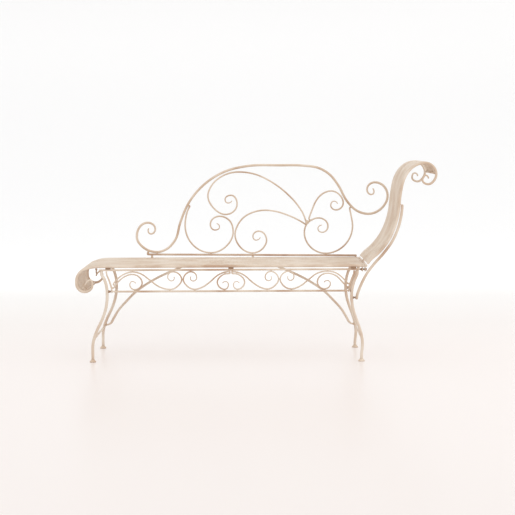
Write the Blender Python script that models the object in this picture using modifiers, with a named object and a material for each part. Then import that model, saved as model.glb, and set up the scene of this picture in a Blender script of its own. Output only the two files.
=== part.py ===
"""A scrolled wrought-iron daybed: slatted seat with a rolled foot, a curled headrest and a low back.

Metres, +Z up.  +X runs along the length towards the headrest, -Y is the open front,
the scrolled back stands over the rear rail.  The origin is on the floor, at the middle.
"""
import math

import bmesh
import bpy
from mathutils import Matrix, Vector

# ---- overall sizes ----------------------------------------------------------------
BODY_LENGTH = 1.675        # foot roll to headrest roll
SEAT_DEPTH = 0.500         # front rail to rear rail, centre to centre
RAIL_Z = 0.4435            # height of the centre of the seat rails

# ---- bars and rods ----------------------------------------------------------------
GAP = 0.0003               # left between pieces that touch
RAIL_D = 0.012             # side rails of the seat and the headrest
CROSS_D = 0.012            # the two bars that meet at the headrest joint
ROLL_BAR_D = 0.008         # bars inside the two rolls, where the slats end
LEG_D = 0.014
STRETCHER_D = 0.010
BRACE_D = 0.012
SUPPORT_D = 0.013
HOOP_D = 0.012
BASE_D = 0.010             # bottom rail of the back
BACK_SCROLL_D = 0.008
APRON_RAIL_D = 0.009
APRON_END_D = 0.008
APRON_SCROLL_D = 0.007
TIP_SHARE = 0.62           # a scroll's tip is drawn down to this share of its rod

# ---- slats ------------------------------------------------------------------------
SLAT_COUNT = 15            # across the seat, and again across the headrest
SLAT_W = 0.020
SLAT_T = 0.003
SLAT_SIDE_GAP = 0.010      # rail to the first slat
SLAT_PROUD = 0.0005        # slat face above the top of the rails
STRAP_W = 0.022            # flat cross straps under the slats
STRAP_T = 0.004
STRAP_BITE = 0.0010        # how far a strap is let into the slats it is welded to

# ---- feet, joint lugs and fasteners --------------------------------------------------
FOOT_D = 0.030
FOOT_H = 0.014
APRON_DROP = 0.099         # apron top rail down to apron lower rail
KNEE_BELOW_APRON = 0.0087  # apron lower rail down to where the legs start to sweep out
SPACER_H = 0.0049          # packing between seat rail and apron top rail
SPACER_L = 0.025
SPACER_W = 0.012
PLATE_L = 0.052            # plate on top of each rear leg
PLATE_W = 0.024
LUG_W = 0.022
LUG_T = 0.004
LUG_DROP = 0.022
LUG_INSET = 0.022          # lug centre inboard of the rail
BOLT_D = 0.008
BOLT_HOLE_D = 0.0090
BOLT_HEAD_D = 0.014
BOLT_HEAD_H = 0.0055
BOLT_TAIL = 0.012          # thread that stands out past a nut
PEG_AT = -739.0            # bolt that hangs under each rail near the foot
PEG_NUT_D = 0.011
PEG_NUT_H = 0.007
PEG_D = 0.0065
PEG_DROP = 0.024
ROSETTE_D = 0.021
ROSETTE_T = 0.004
STUB_D = 0.012
BASE_LIFT_FOOT = 0.0102    # the back's bottom rail above the seat rail, at the foot end
BASE_LIFT_HEAD = 0.0012    # and at the headrest end

# ---- how finely bends are divided -----------------------------------------------------
BEND_STEP = 28.0           # most degrees of bend to one straight piece
BEND_ERROR = 0.0013        # most that a straight piece may cut inside its arc
SLAT_BEND_STEP = 40.0      # the same two for the slats, which are many
SLAT_BEND_ERROR = 0.0028

# ---- templates: (x, z) in millimetres, optional heading in degrees ----------------------
# They are drawn for a 1675 mm body with its seat rails 443.5 mm up, middle at x -2.07.
TEMPLATE_LENGTH = 1.675
TEMPLATE_MIDDLE = -2.07
TEMPLATE_RAIL_Z = 0.4435

SEAT_RAIL = [(-730, 443.5, 180), (-757, 441.3), (-785, 434.2), (-812, 421.5), (-826, 403),
             (-832, 377, 270), (-829, 352), (-815, 334), (-793, 327.5, 0), (-771, 335),
             (-758.5, 355, 90), (-769, 382.5, 180), (-781, 376), (-790, 358)]
HEAD_RAIL = [(521, 464), (569, 507.7), (610.4, 561.2), (636.6, 619), (652.5, 677.6), (659, 729),
             (666, 784), (679, 838), (704, 881), (741, 908.5), (779, 915.5, 0), (813, 900), (828, 863, 270),
             (818, 835), (792, 818, 180), (765, 838, 90), (778, 859, 0), (792, 843)]
LEFT_LEG = [(-715.5, 423, 270), (-715.5, 412, 270), (-703.5, 388), (-698.5, 375), (-692.5, 350),
            (-690, 308, 270), (-697, 250), (-714, 200), (-738, 150), (-755, 102), (-759.5, 70, 270),
            (-759.5, 14, 270)]
RIGHT_LEG = [(465.5, 423, 270), (465.5, 412, 270), (456.5, 388), (451, 375), (444, 350),
             (438.5, 305, 270), (444, 250), (459, 200), (477, 150), (487.5, 105), (489, 75),
             (484.5, 22, 270), (484.5, 14, 270)]
BRACE = [(-740.5, 117, 0), (-720, 126), (-707, 148), (-680, 192), (-646, 230), (-597, 279),
         (-538, 321), (-481, 353), (-400, 389), (-330, 417), (-270, 431.2, 0), (-250, 431.2, 0)]
BRACE_MIDDLE = -131.5
SUPPORT = [(462, 287), (465, 310), (474, 335), (488, 368), (509, 407), (544, 453), (586, 500),
           (627, 557), (653.5, 617), (668, 677), (672.5, 726)]

# The apron is drawn from its own middle, for scrolls lying between 336.3 and 419.7 mm.
APRON_MIDDLE = -118.0
APRON_LOW = 336.3
APRON_HIGH = 419.7
APRON_END = [(-574.5, 423, 270), (-574.5, 416, 270), (-562, 380), (-552, 345), (-549, 322)]
APRON_OUTER_C = [(-540, 346), (-522, 372), (-492, 397), (-457, 408, 0), (-422, 394), (-410, 369, 270),
                 (-422, 345), (-444, 336.5, 180), (-467, 360, 90), (-455, 375, 0), (-440, 365)]
APRON_OUTER_S = [(-544, 362), (-522, 389), (-492, 410), (-454, 419.5, 0), (-412, 409), (-377, 383),
                 (-332, 350), (-282, 337, 0), (-242, 356), (-227.5, 383, 90), (-240, 409),
                 (-266, 419.5, 180), (-292, 396, 270), (-274, 377, 0), (-261.5, 390, 90), (-264, 397)]
APRON_OUTER_C_RIGHT = [(536, 346), (513, 370), (488, 396), (447, 409.5, 180), (412, 397), (399, 370, 270),
                       (408, 347), (431, 336.5, 0), (459, 362, 90), (445, 376, 180), (430, 367)]
APRON_OUTER_S_RIGHT = [(539, 362), (515, 389), (488, 410), (447, 419.5, 180), (396, 409), (361, 383),
                       (319, 350), (279, 337, 180), (240, 355), (227.5, 383, 90), (240, 409),
                       (266, 419.5, 0), (291, 396, 270), (274, 377, 180), (262, 390, 90), (264, 398)]
APRON_INNER_S = [(-5, 419.5, 180), (-32, 416), (-62, 402), (-97, 371), (-132, 347), (-167, 337, 180),
                 (-204, 354), (-219.7, 383, 90), (-208, 409), (-185, 419.5, 0), (-158, 393, 270),
                 (-174, 376, 180), (-187, 388, 90), (-184, 398)]
APRON_CENTRE_C = [(-5, 410, 180), (-18, 409.5, 180), (-44, 400), (-63, 370, 270), (-52, 346),
                  (-30, 336.5, 0), (-11.5, 358, 90), (-25, 373, 180), (-39, 365)]

HOOP = [(-528, 594), (-518, 566, 0), (-497, 590, 90), (-534, 621, 180), (-588, 553, 270),
        (-549, 494), (-488, 476.4, 0), (-440, 492), (-400, 534), (-374, 620), (-330, 720), (-250, 812),
        (-150, 872), (-50, 896), (120, 900, 0), (230, 898), (312, 884), (365, 850), (402, 802),
        (450, 717), (495, 675), (550, 660, 0), (615, 687), (645, 748, 90), (583, 814.5, 180),
        (544, 780, 270), (565, 755, 0), (578, 768, 90), (571, 785)]
BACK_FOOT_SCROLL = [(-325.5, 701), (-340, 672), (-347, 640), (-350, 607, 270), (-334, 541), (-290, 492),
                    (-224, 471.6, 0), (-150, 502), (-114, 575, 90), (-136, 634), (-181, 651, 180),
                    (-226, 611, 270), (-203, 583.5, 0), (-181, 599, 90), (-196, 615)]
BACK_HIGH_SCROLL = [(243, 627), (231, 660), (202, 706), (152, 760), (102, 801), (52, 832), (0, 855),
                    (-85, 868, 180), (-170, 846), (-220, 800), (-237, 752, 270), (-208, 690),
                    (-151, 660, 0), (-94, 712, 90), (-125, 754, 180), (-153, 733, 270),
                    (-138, 716, 0), (-119, 728)]
BACK_LOW_SCROLL = [(238, 612), (200, 635), (150, 657), (100, 673), (42, 680, 180), (-10, 672),
                   (-62, 645), (-95, 600), (-105, 562, 270), (-86, 507), (-20, 470, 0), (38, 500),
                   (50, 532, 90), (12, 577, 180), (-17, 552, 270), (-2, 533, 0), (19, 548)]
BACK_TOP_SCROLL = [(258, 638), (275, 683), (292, 722), (325, 759), (368, 773, 0), (408, 755),
                   (427, 715, 270), (392, 680, 180), (366, 703, 90), (382, 723, 0), (399, 709)]
BACK_HEAD_SCROLL = [(458, 688), (465, 655), (473, 603, 270), (456, 536), (408, 486), (342, 466.4, 180),
                    (268, 496), (236, 568, 90), (252, 616), (270, 630), (305, 641, 0), (352, 600, 270),
                    (323, 570, 180), (303, 588, 90), (323, 605)]
HUB = (250, 621)
BASE_FOOT_X = -536.0
BASE_HEAD_X = 494.0
JOINT_AT = 494.0
SEAT_STRAPS = (-620, -250, 120, 440)
SPACERS_AT = (-685, -118, 448)
PLATES_AT = (-702, 456)

# ---- derived places -------------------------------------------------------------------
RAIL_Y = SEAT_DEPTH / 2
SLAT_PITCH = (SEAT_DEPTH - RAIL_D - 2 * SLAT_SIDE_GAP - SLAT_W) / (SLAT_COUNT - 1)
TOP_RAIL_Z = RAIL_Z - RAIL_D / 2 - SPACER_H - 2 * GAP - APRON_RAIL_D / 2
LOW_RAIL_Z = TOP_RAIL_Z - APRON_DROP
SLAT_OFFSET = RAIL_D / 2 + SLAT_PROUD - SLAT_T / 2
STRAP_LENGTH = SEAT_DEPTH - RAIL_D - 2 * GAP


def along(x_mm):
    """Template x to metres on the finished length."""
    return (x_mm - TEMPLATE_MIDDLE) / 1000 * BODY_LENGTH / TEMPLATE_LENGTH


def over_seat(z_mm):
    """Heights that keep their distance from the seat rails."""
    return RAIL_Z + z_mm / 1000 - TEMPLATE_RAIL_Z


def under_seat(z_mm):
    """Heights shared out between the floor and the seat rails."""
    return z_mm / 1000 * RAIL_Z / TEMPLATE_RAIL_Z


def apron_height(z_mm):
    """Heights shared out between the apron's two rails."""
    low = LOW_RAIL_Z + (APRON_RAIL_D + APRON_SCROLL_D) / 2 + GAP
    high = TOP_RAIL_Z - (APRON_RAIL_D + APRON_SCROLL_D) / 2 - GAP
    return low + (z_mm - APRON_LOW) / (APRON_HIGH - APRON_LOW) * (high - low)


def back_height(z_mm):
    """Heights of the back, lifted with the thickness of its bottom rail and scrolls."""
    return over_seat(z_mm) + (RAIL_D - 0.012) / 2 + (BASE_D - 0.010) + (BACK_SCROLL_D - 0.008) / 2


# ---- routes -----------------------------------------------------------------------------
def headings(points):
    """Direction at each point: as given, or of the circle through its neighbours."""
    places = [Vector((p[0], p[1])) for p in points]
    result = []
    for index, point in enumerate(points):
        if len(point) == 3:
            angle = math.radians(point[2])
            result.append(Vector((math.cos(angle), math.sin(angle))))
            continue
        middle = min(max(index, 1), len(points) - 2)
        before = places[middle] - places[middle - 1]
        after = places[middle + 1] - places[middle]
        tangent = (before / before.length_squared + after / after.length_squared).normalized()
        if index == 0:
            chord = before.normalized()
            tangent = 2 * tangent.dot(chord) * chord - tangent
        elif index == len(points) - 1:
            chord = after.normalized()
            tangent = 2 * tangent.dot(chord) * chord - tangent
        result.append(tangent)
    return result


def smooth_route(points, step=BEND_STEP, error=BEND_ERROR):
    """Points along arcs that pass through the template points, closer where it bends."""
    places = [Vector((p[0], p[1])) for p in points]
    tangents = headings(points)
    route = [places[0]]
    for index in range(len(places) - 1):
        start, end = places[index], places[index + 1]
        go, come = tangents[index], tangents[index + 1]
        chord = end - start
        bend = abs(go.angle_signed(chord, 0.0)) + abs(chord.angle_signed(come, 0.0))
        handle = chord.length / (3 * math.cos(bend / 4) ** 2)
        pieces = 1
        if bend > 0.01:
            radius = chord.length / bend
            allowed = min(math.radians(step), 2 * math.acos(max(0.0, 1 - error / radius)))
            pieces = max(1, math.ceil(bend / allowed))
        for k in range(1, pieces + 1):
            t = k / pieces
            s = 1 - t
            place = start * s ** 3 + (start + go * handle) * 3 * s * s * t
            place = place + (end - come * handle) * 3 * s * t * t + end * t ** 3
            route.append(place)
    return route


def to_metres(points, height):
    """Template points to metres, with a heading kept as it is."""
    result = []
    for point in points:
        result.append((along(point[0]), height(point[1])) + tuple(point[2:]))
    return result


def mirrored(points, middle=0.0):
    """The same template seen in a mirror across x = middle."""
    result = []
    for point in points:
        turned = tuple(180 - angle for angle in point[2:])
        result.append((2 * middle - point[0], point[1]) + turned)
    return result


def shifted(points, distance):
    return [(p[0] + distance,) + tuple(p[1:]) for p in points]


def beside(route, distance):
    """The route moved sideways, to the left of its direction when distance is positive."""
    result = []
    for index, place in enumerate(route):
        before = route[max(index - 1, 0)]
        after = route[min(index + 1, len(route) - 1)]
        direction = (after - before).normalized()
        result.append(place + Vector((-direction.y, direction.x)) * distance)
    return result


def x_at_height(route, z):
    """Where a route crosses a height."""
    for start, end in zip(route, route[1:]):
        if (start.y - z) * (end.y - z) <= 0 and start.y != end.y:
            return start.x + (end.x - start.x) * (z - start.y) / (end.y - start.y)
    return route[-1].x


def z_at(route, x):
    """Where a route crosses a place along the bed."""
    for start, end in zip(route, route[1:]):
        if (start.x - x) * (end.x - x) <= 0 and start.x != end.x:
            return start.y + (end.y - start.y) * (x - start.x) / (end.x - start.x)
    return route[-1].y


def face_at(route, z, reach, side):
    """The outermost x of a route within reach of a height, on side +1 or -1."""
    return max(side * x_at_height(route, z + k * reach) for k in (-1, -0.5, 0, 0.5, 1)) * side


# ---- scene helpers ----------------------------------------------------------------------
def clear_scene():
    for item in list(bpy.data.objects):
        bpy.data.objects.remove(item, do_unlink=True)


def new_collection(name):
    collection = bpy.data.collections.new(name)
    bpy.context.scene.collection.children.link(collection)
    return collection


def paint(name, colour, metallic, roughness):
    material = bpy.data.materials.new(name)
    material.use_nodes = True
    shader = material.node_tree.nodes["Principled BSDF"]
    shader.inputs["Base Color"].default_value = (*colour, 1.0)
    shader.inputs["Metallic"].default_value = metallic
    shader.inputs["Roughness"].default_value = roughness
    return material


clear_scene()
PARTS = new_collection("daybed")
TOOLS = new_collection("daybed_cutters")
CREAM = paint("aged_cream_paint", (0.74, 0.62, 0.50), 0.0, 0.55)
CREAM_SLATS = paint("aged_cream_slats", (0.70, 0.59, 0.48), 0.0, 0.58)
CREAM_LEGS = paint("aged_cream_legs", (0.71, 0.59, 0.47), 0.0, 0.55)
DARK_BOLTS = paint("darkened_bolts", (0.20, 0.15, 0.11), 0.6, 0.50)
DARK_FEET = paint("worn_feet", (0.48, 0.38, 0.29), 0.2, 0.60)


def keep(item, material, collection=None):
    for owner in list(item.users_collection):
        owner.objects.unlink(item)
    (collection or PARTS).objects.link(item)
    item.data.materials.clear()
    item.data.materials.append(material)
    return item


def mesh_object(name, mesh, material, smooth=True):
    item = bpy.data.objects.new(name, mesh)
    PARTS.objects.link(item)
    mesh.materials.clear()
    mesh.materials.append(material)
    if smooth:
        mesh.shade_smooth()
        mesh.set_sharp_from_angle(angle=math.radians(50))
    return item


def rod(name, route, y, diameter, material, sides=6, drawn_start=0.0, drawn_end=0.0):
    """A round rod along a route; its ends are drawn down over the given lengths."""
    steps = [0.0]
    for start, end in zip(route, route[1:]):
        steps.append(steps[-1] + (end - start).length)
    data = bpy.data.curves.new(name, "CURVE")
    data.dimensions = "3D"
    data.bevel_mode = "ROUND"
    data.bevel_depth = diameter / 2
    data.bevel_resolution = (sides - 4) // 2
    data.use_fill_caps = True
    spline = data.splines.new("POLY")
    spline.points.add(len(route) - 1)
    for point, place, reached in zip(spline.points, route, steps):
        point.co = (place.x, y, place.y, 1.0)
        share = 1.0
        if drawn_start > 0:
            share = min(share, TIP_SHARE + (1 - TIP_SHARE) * reached / drawn_start)
        if drawn_end > 0:
            share = min(share, TIP_SHARE + (1 - TIP_SHARE) * (steps[-1] - reached) / drawn_end)
        point.radius = share
    item = bpy.data.objects.new(name, data)
    PARTS.objects.link(item)
    data.materials.append(material)
    return item


def cylinder(name, centre, axis, diameter, length, material, sides=12, collection=None):
    bpy.ops.mesh.primitive_cylinder_add(vertices=sides, radius=diameter / 2, depth=length,
                                        location=centre)
    item = bpy.context.active_object
    item.name = name
    item.data.name = name
    if axis == "Y":
        item.rotation_euler = (math.radians(90), 0, 0)
    elif axis == "X":
        item.rotation_euler = (0, math.radians(90), 0)
    keep(item, material, collection)
    item.data.shade_smooth()
    item.data.set_sharp_from_angle(angle=math.radians(50))
    return item


def box(name, centre, size, material, collection=None):
    bpy.ops.mesh.primitive_cube_add(size=1, location=centre)
    item = bpy.context.active_object
    item.name = name
    item.data.name = name
    for vertex in item.data.vertices:
        vertex.co = Vector((vertex.co.x * size[0], vertex.co.y * size[1], vertex.co.z * size[2]))
    return keep(item, material, collection)


def turned(name, profile, place, material, sides=12):
    """A turned piece from (radius, height) pairs, given from top to bottom."""
    mesh = bpy.data.meshes.new(name)
    work = bmesh.new()
    corners = [work.verts.new((radius, 0.0, height)) for radius, height in profile]
    for upper, lower in zip(corners, corners[1:]):
        work.edges.new((upper, lower))
    work.to_mesh(mesh)
    work.free()
    item = mesh_object(name, mesh, material, smooth=False)
    item.location = place
    screw = item.modifiers.new("turn", "SCREW")
    screw.steps = sides
    screw.render_steps = sides
    screw.use_merge_vertices = True
    screw.merge_threshold = 0.00001
    screw.use_smooth_shade = True
    return item


def combine(item, other, operation):
    """A Boolean that keeps its tool in the cutters' collection."""
    for owner in list(other.users_collection):
        owner.objects.unlink(other)
    TOOLS.objects.link(other)
    other.hide_render = True
    other.display_type = "WIRE"
    change = item.modifiers.new(operation.lower(), "BOOLEAN")
    change.operation = operation
    change.solver = "EXACT"
    change.object = other


def joined(name, items, material):
    """Several closed shapes as one mesh, each still its own body."""
    work = bmesh.new()
    for item in items:
        before = len(work.verts)
        work.from_mesh(item.data)
        work.verts.ensure_lookup_table()
        place = item.matrix_basis
        for vertex in work.verts[before:]:
            vertex.co = place @ vertex.co
    mesh = bpy.data.meshes.new(name)
    work.to_mesh(mesh)
    work.free()
    for item in items:
        bpy.data.objects.remove(item, do_unlink=True)
    return mesh_object(name, mesh, material, smooth=False)


# ---- side rails ---------------------------------------------------------------------------
JOINT_X = along(JOINT_AT)
seat_rail_end = JOINT_X - CROSS_D / 2 - GAP
seat_points = [(seat_rail_end, RAIL_Z, 180)] + to_metres(SEAT_RAIL, over_seat)
seat_route = smooth_route(seat_points)
head_joint_x = JOINT_X + CROSS_D + GAP
head_start = Vector((head_joint_x, RAIL_Z))
head_first = Vector((along(HEAD_RAIL[0][0]), over_seat(HEAD_RAIL[0][1])))
head_away = (head_first - head_start).normalized() * (CROSS_D / 2 + GAP + 0.0032)
head_points = [tuple(head_start + head_away)] + to_metres(HEAD_RAIL, over_seat)
head_route = smooth_route(head_points)

for side, y in (("front", -RAIL_Y), ("back", RAIL_Y)):
    rod(f"seat_rail_{side}", seat_route, y, RAIL_D, CREAM, sides=8, drawn_end=0.11)
    rod(f"headrest_rail_{side}", head_route, y, RAIL_D, CREAM, sides=8, drawn_end=0.12)


# ---- slat panels ----------------------------------------------------------------------------
def slat_panel(name, route, offset, straps, material):
    """Lengthwise slats beside a route, welded to flat straps that run across under them."""
    face = beside(route, offset)

    data = bpy.data.curves.new(name + "_strip", "CURVE")
    data.dimensions = "2D"
    data.fill_mode = "NONE"
    data.extrude = SLAT_W / 2
    spline = data.splines.new("POLY")
    spline.points.add(len(face) - 1)
    for point, place in zip(spline.points, face):
        point.co = (place.x, place.y, 0.0, 1.0)
    strip = bpy.data.objects.new(name + "_strip", data)
    PARTS.objects.link(strip)
    bpy.context.view_layer.update()
    evaluated = strip.evaluated_get(bpy.context.evaluated_depsgraph_get())
    flat = bpy.data.meshes.new_from_object(evaluated)
    bpy.data.objects.remove(strip, do_unlink=True)
    work = bmesh.new()
    first = -(SLAT_COUNT - 1) / 2
    for number in range(SLAT_COUNT):
        before = len(work.verts)
        work.from_mesh(flat)
        work.verts.ensure_lookup_table()
        for vertex in work.verts[before:]:
            middle = (first + number) * SLAT_PITCH
            vertex.co = Vector((vertex.co.x, middle - vertex.co.z, vertex.co.y))
    bmesh.ops.remove_doubles(work, verts=work.verts, dist=0.00001)
    bmesh.ops.recalc_face_normals(work, faces=work.faces)
    mesh = bpy.data.meshes.new(name)
    work.to_mesh(mesh)
    work.free()
    bpy.data.meshes.remove(flat)
    item = mesh_object(name, mesh, material, smooth=False)
    thick = item.modifiers.new("thickness", "SOLIDIFY")
    thick.thickness = SLAT_T
    thick.offset = 0.0
    thick.use_even_offset = True
    combine(item, joined(name + "_straps", straps, material), "UNION")
    return item


def strap(route, place, below):
    """A flat strap under the slats, at the point of the route that is nearest to place."""
    best = min(range(1, len(route) - 1), key=lambda k: (route[k] - place).length)
    near = route[best]
    direction = (route[best + 1] - route[best - 1]).normalized()
    side = Vector((-direction.y, direction.x)) * below
    middle = near + side * (SLAT_T / 2 + STRAP_T / 2 - STRAP_BITE)
    item = box("strap", (middle.x, 0, middle.y), (STRAP_W, STRAP_LENGTH, STRAP_T), CREAM_SLATS)
    item.rotation_euler = (0, -math.atan2(direction.y, direction.x), 0)
    item.matrix_basis = Matrix.LocRotScale(item.location, item.rotation_euler, None)
    return item


seat_turn = smooth_route(seat_points, SLAT_BEND_STEP, SLAT_BEND_ERROR)
roll_stop = next(k for k, p in enumerate(seat_turn) if p.y < RAIL_Z - 0.050 and p.x > along(-800))
slat_underside = min(max(SLAT_OFFSET - SLAT_T / 2, 0.0), CROSS_D / 2)
bar_half_there = math.sqrt((CROSS_D / 2) ** 2 - slat_underside ** 2)
seat_slat_route = [Vector((JOINT_X - bar_half_there - GAP, RAIL_Z))] + seat_turn[1:roll_stop + 1]
seat_face = beside(seat_slat_route, -SLAT_OFFSET)
seat_straps = []
for x in SEAT_STRAPS:
    level = [Vector((along(x) + reach, seat_face[0].y)) for reach in (0.05, 0.0, -0.05)]
    seat_straps.append(strap(level, level[1], 1.0))
seat_straps.append(strap(seat_face, Vector((along(-812), over_seat(424))), 1.0))
slat_panel("seat_slat_panel", seat_slat_route, -SLAT_OFFSET, seat_straps, CREAM_SLATS)

head_turn = smooth_route(head_points, SLAT_BEND_STEP, SLAT_BEND_ERROR)
head_stop = max(k for k, p in enumerate(head_turn) if p.x > along(815) and p.y > over_seat(855))
head_slat_start = head_start + head_away.normalized() * (CROSS_D / 2 + 0.006)
head_slat_route = [head_slat_start] + head_turn[1:head_stop + 1]
head_face = beside(head_slat_route, SLAT_OFFSET)
head_straps = []
for place in ((569, 508), (644, 647.5), (679, 838), (779, 915)):
    head_straps.append(strap(head_face, Vector((along(place[0]), over_seat(place[1]))), -1.0))
slat_panel("headrest_slat_panel", head_slat_route, SLAT_OFFSET, head_straps, CREAM_SLATS)


# ---- cross bars -----------------------------------------------------------------------------
def lugged_bar(name, x, lug_x):
    """A bar across the bed with two drilled lugs hanging under it."""
    bar = cylinder(name, (x, 0, RAIL_Z), "Y", CROSS_D, SEAT_DEPTH + RAIL_D, CREAM)
    lugs = []
    holes = []
    for y in (-RAIL_Y + LUG_INSET, RAIL_Y - LUG_INSET):
        top = RAIL_Z
        bottom = RAIL_Z - CROSS_D / 2 - LUG_DROP
        lugs.append(box("lug", (lug_x, y, (top + bottom) / 2), (LUG_T, LUG_W, top - bottom), CREAM))
        hole = cylinder("hole", (lug_x, y, LUG_HOLE_Z), "X", BOLT_HOLE_D, LUG_T * 3, CREAM, sides=10)
        hole.matrix_basis = Matrix.LocRotScale(hole.location, hole.rotation_euler, None)
        holes.append(hole)
    combine(bar, joined(name + "_lugs", lugs, CREAM), "UNION")
    combine(bar, joined(name + "_holes", holes, CREAM), "DIFFERENCE")
    return bar


LUG_HOLE_Z = RAIL_Z - CROSS_D / 2 - LUG_DROP * 0.55
seat_lug_x = JOINT_X - CROSS_D / 4
head_lug_x = head_joint_x - CROSS_D / 2 + LUG_T / 2
lugged_bar("seat_joint_bar", JOINT_X, seat_lug_x)
lugged_bar("headrest_joint_bar", head_joint_x, head_lug_x)


def bolt_and_nut(name, place, grip, tail, material):
    """A bolt with its nut: head above place, then the gripped length, the nut and the free tail."""
    shank, head = BOLT_D / 2, BOLT_HEAD_D / 2
    nut_top = -grip
    nut_end = nut_top - BOLT_HEAD_H
    profile = [(0.0, BOLT_HEAD_H), (head, BOLT_HEAD_H), (head, 0.0), (shank, 0.0), (shank, nut_top),
               (head, nut_top), (head, nut_end), (shank, nut_end), (shank, nut_end - tail),
               (0.0, nut_end - tail)]
    return turned(name, profile, place, material)


joint_grip = head_lug_x - seat_lug_x + LUG_T + 2 * GAP
for side, y in (("front", -RAIL_Y + LUG_INSET), ("back", RAIL_Y - LUG_INSET)):
    item = bolt_and_nut(f"joint_bolt_{side}", (head_lug_x + LUG_T / 2 + GAP, y, LUG_HOLE_Z), joint_grip,
                        BOLT_TAIL, DARK_BOLTS)
    item.rotation_euler = (0, math.radians(90), 0)


def roll_bar(name, face, under):
    """A round bar across the bed at the end of the slats, on their inner side."""
    last = face[-1]
    direction = (face[-1] - face[-2]).normalized()
    inward = Vector((-direction.y, direction.x)) * under
    middle = last + inward * (SLAT_T / 2 + ROLL_BAR_D / 2 + GAP * 2) - direction * ROLL_BAR_D / 2
    cylinder(name, (middle.x, 0, middle.y), "Y", ROLL_BAR_D, STRAP_LENGTH, CREAM, sides=8)


roll_bar("seat_roll_bar", seat_face, 1.0)
roll_bar("headrest_roll_bar", head_face, -1.0)

# ---- legs, feet and stretchers -----------------------------------------------------------------
leg_top = TOP_RAIL_Z - APRON_RAIL_D / 2 - GAP


def leg_height(z_mm):
    """Beside the apron a leg follows the apron's depth; below it, its height is shared to the foot."""
    low, knee, high = 14.0, 320.0, 423.0
    knee_z = LOW_RAIL_Z - KNEE_BELOW_APRON
    if z_mm > knee:
        return knee_z + (z_mm - knee) / (high - knee) * (leg_top - knee_z)
    return FOOT_H + GAP + (z_mm - low) / (knee - low) * (knee_z - FOOT_H - GAP)


leg_routes = {"left": smooth_route(to_metres(LEFT_LEG, leg_height)),
              "right": smooth_route(to_metres(RIGHT_LEG, leg_height))}
foot_profile = [(0.0, FOOT_H), (LEG_D / 2 + 0.001, FOOT_H), (FOOT_D * 0.36, FOOT_H * 0.72),
                (FOOT_D / 2, FOOT_H * 0.40), (FOOT_D / 2, FOOT_H * 0.14), (FOOT_D * 0.44, 0.0), (0.0, 0.0)]
STRETCHER_Z = 0.108
for end, route in leg_routes.items():
    for side, y in (("front", -RAIL_Y), ("back", RAIL_Y)):
        rod(f"leg_{side}_{end}", route, y, LEG_D, CREAM_LEGS, sides=8)
        turned(f"foot_{side}_{end}", foot_profile, (route[-1].x, y, 0.0), DARK_FEET)
    cylinder(f"leg_stretcher_{end}", (x_at_height(route, STRETCHER_Z), 0, STRETCHER_Z), "Y", STRETCHER_D,
             SEAT_DEPTH - LEG_D - 2 * GAP, CREAM_LEGS, sides=8)

# ---- knee braces behind ---------------------------------------------------------------------------
brace_top = RAIL_Z - RAIL_D / 2 - BRACE_D / 2 - GAP


def brace_height(z_mm):
    low, high = 117.0, 431.2
    return under_seat(low) + (z_mm - low) / (high - low) * (brace_top - under_seat(low))


def brace_points(points, leg_route, outward):
    """The brace's template, starting at the side of its leg."""
    placed = to_metres(points, brace_height)
    start_x = x_at_height(leg_route, placed[0][1]) - outward * (LEG_D / 2 + BRACE_D / 2 + GAP - 0.0028)
    return [(start_x,) + placed[0][1:]] + placed[1:]


rod("knee_brace_left", smooth_route(brace_points(BRACE, leg_routes["left"], -1)), RAIL_Y, BRACE_D,
    CREAM_LEGS, sides=8, drawn_start=0.02)
rod("knee_brace_right", smooth_route(brace_points(mirrored(BRACE, BRACE_MIDDLE), leg_routes["right"], 1)),
    RAIL_Y, BRACE_D, CREAM_LEGS, sides=8, drawn_start=0.02)

# ---- headrest supports ------------------------------------------------------------------------------
support_route = smooth_route(to_metres(SUPPORT, over_seat))
SUPPORT_BOLT_Z = RAIL_Z - 0.147
for side, y in (("front", -RAIL_Y), ("back", RAIL_Y)):
    rod(f"headrest_support_{side}", support_route, y, SUPPORT_D, CREAM, sides=8)
    leg_x = face_at(leg_routes["right"], SUPPORT_BOLT_Z, BOLT_HEAD_D * 0.4, 1) + LEG_D / 2 + GAP
    arm_x = face_at(support_route, SUPPORT_BOLT_Z, BOLT_HEAD_D * 0.4, -1) - SUPPORT_D / 2 - 2 * GAP
    cylinder(f"support_spacer_{side}", ((leg_x + arm_x) / 2, y, SUPPORT_BOLT_Z), "X", BOLT_HEAD_D * 0.8,
             arm_x - leg_x, DARK_BOLTS, sides=10)

# ---- apron ----------------------------------------------------------------------------------------------
top_rail = [Vector((along(-728), TOP_RAIL_Z)), Vector((along(478), TOP_RAIL_Z))]
rod("apron_top_rail", top_rail, -RAIL_Y, APRON_RAIL_D, CREAM, sides=8)
end_points = to_metres(shifted(APRON_END, APRON_MIDDLE), apron_height)
end_points[0] = (end_points[0][0], leg_top)
other_end_points = to_metres(shifted(mirrored(APRON_END), APRON_MIDDLE - 6.0), apron_height)
other_end_points[0] = (other_end_points[0][0], leg_top)
end_routes = [smooth_route(end_points), smooth_route(other_end_points)]
low_from = face_at(end_routes[0], LOW_RAIL_Z, APRON_RAIL_D / 2, 1) + APRON_END_D / 2 + GAP
low_to = face_at(end_routes[1], LOW_RAIL_Z, APRON_RAIL_D / 2, -1) - APRON_END_D / 2 - GAP
rod("apron_lower_rail", [Vector((low_from, LOW_RAIL_Z)), Vector((low_to, LOW_RAIL_Z))], -RAIL_Y,
    APRON_RAIL_D, CREAM, sides=8)
for end, route in zip(("left", "right"), end_routes):
    rod(f"apron_end_bar_{end}", route, -RAIL_Y, APRON_END_D, CREAM, sides=6)
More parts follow.
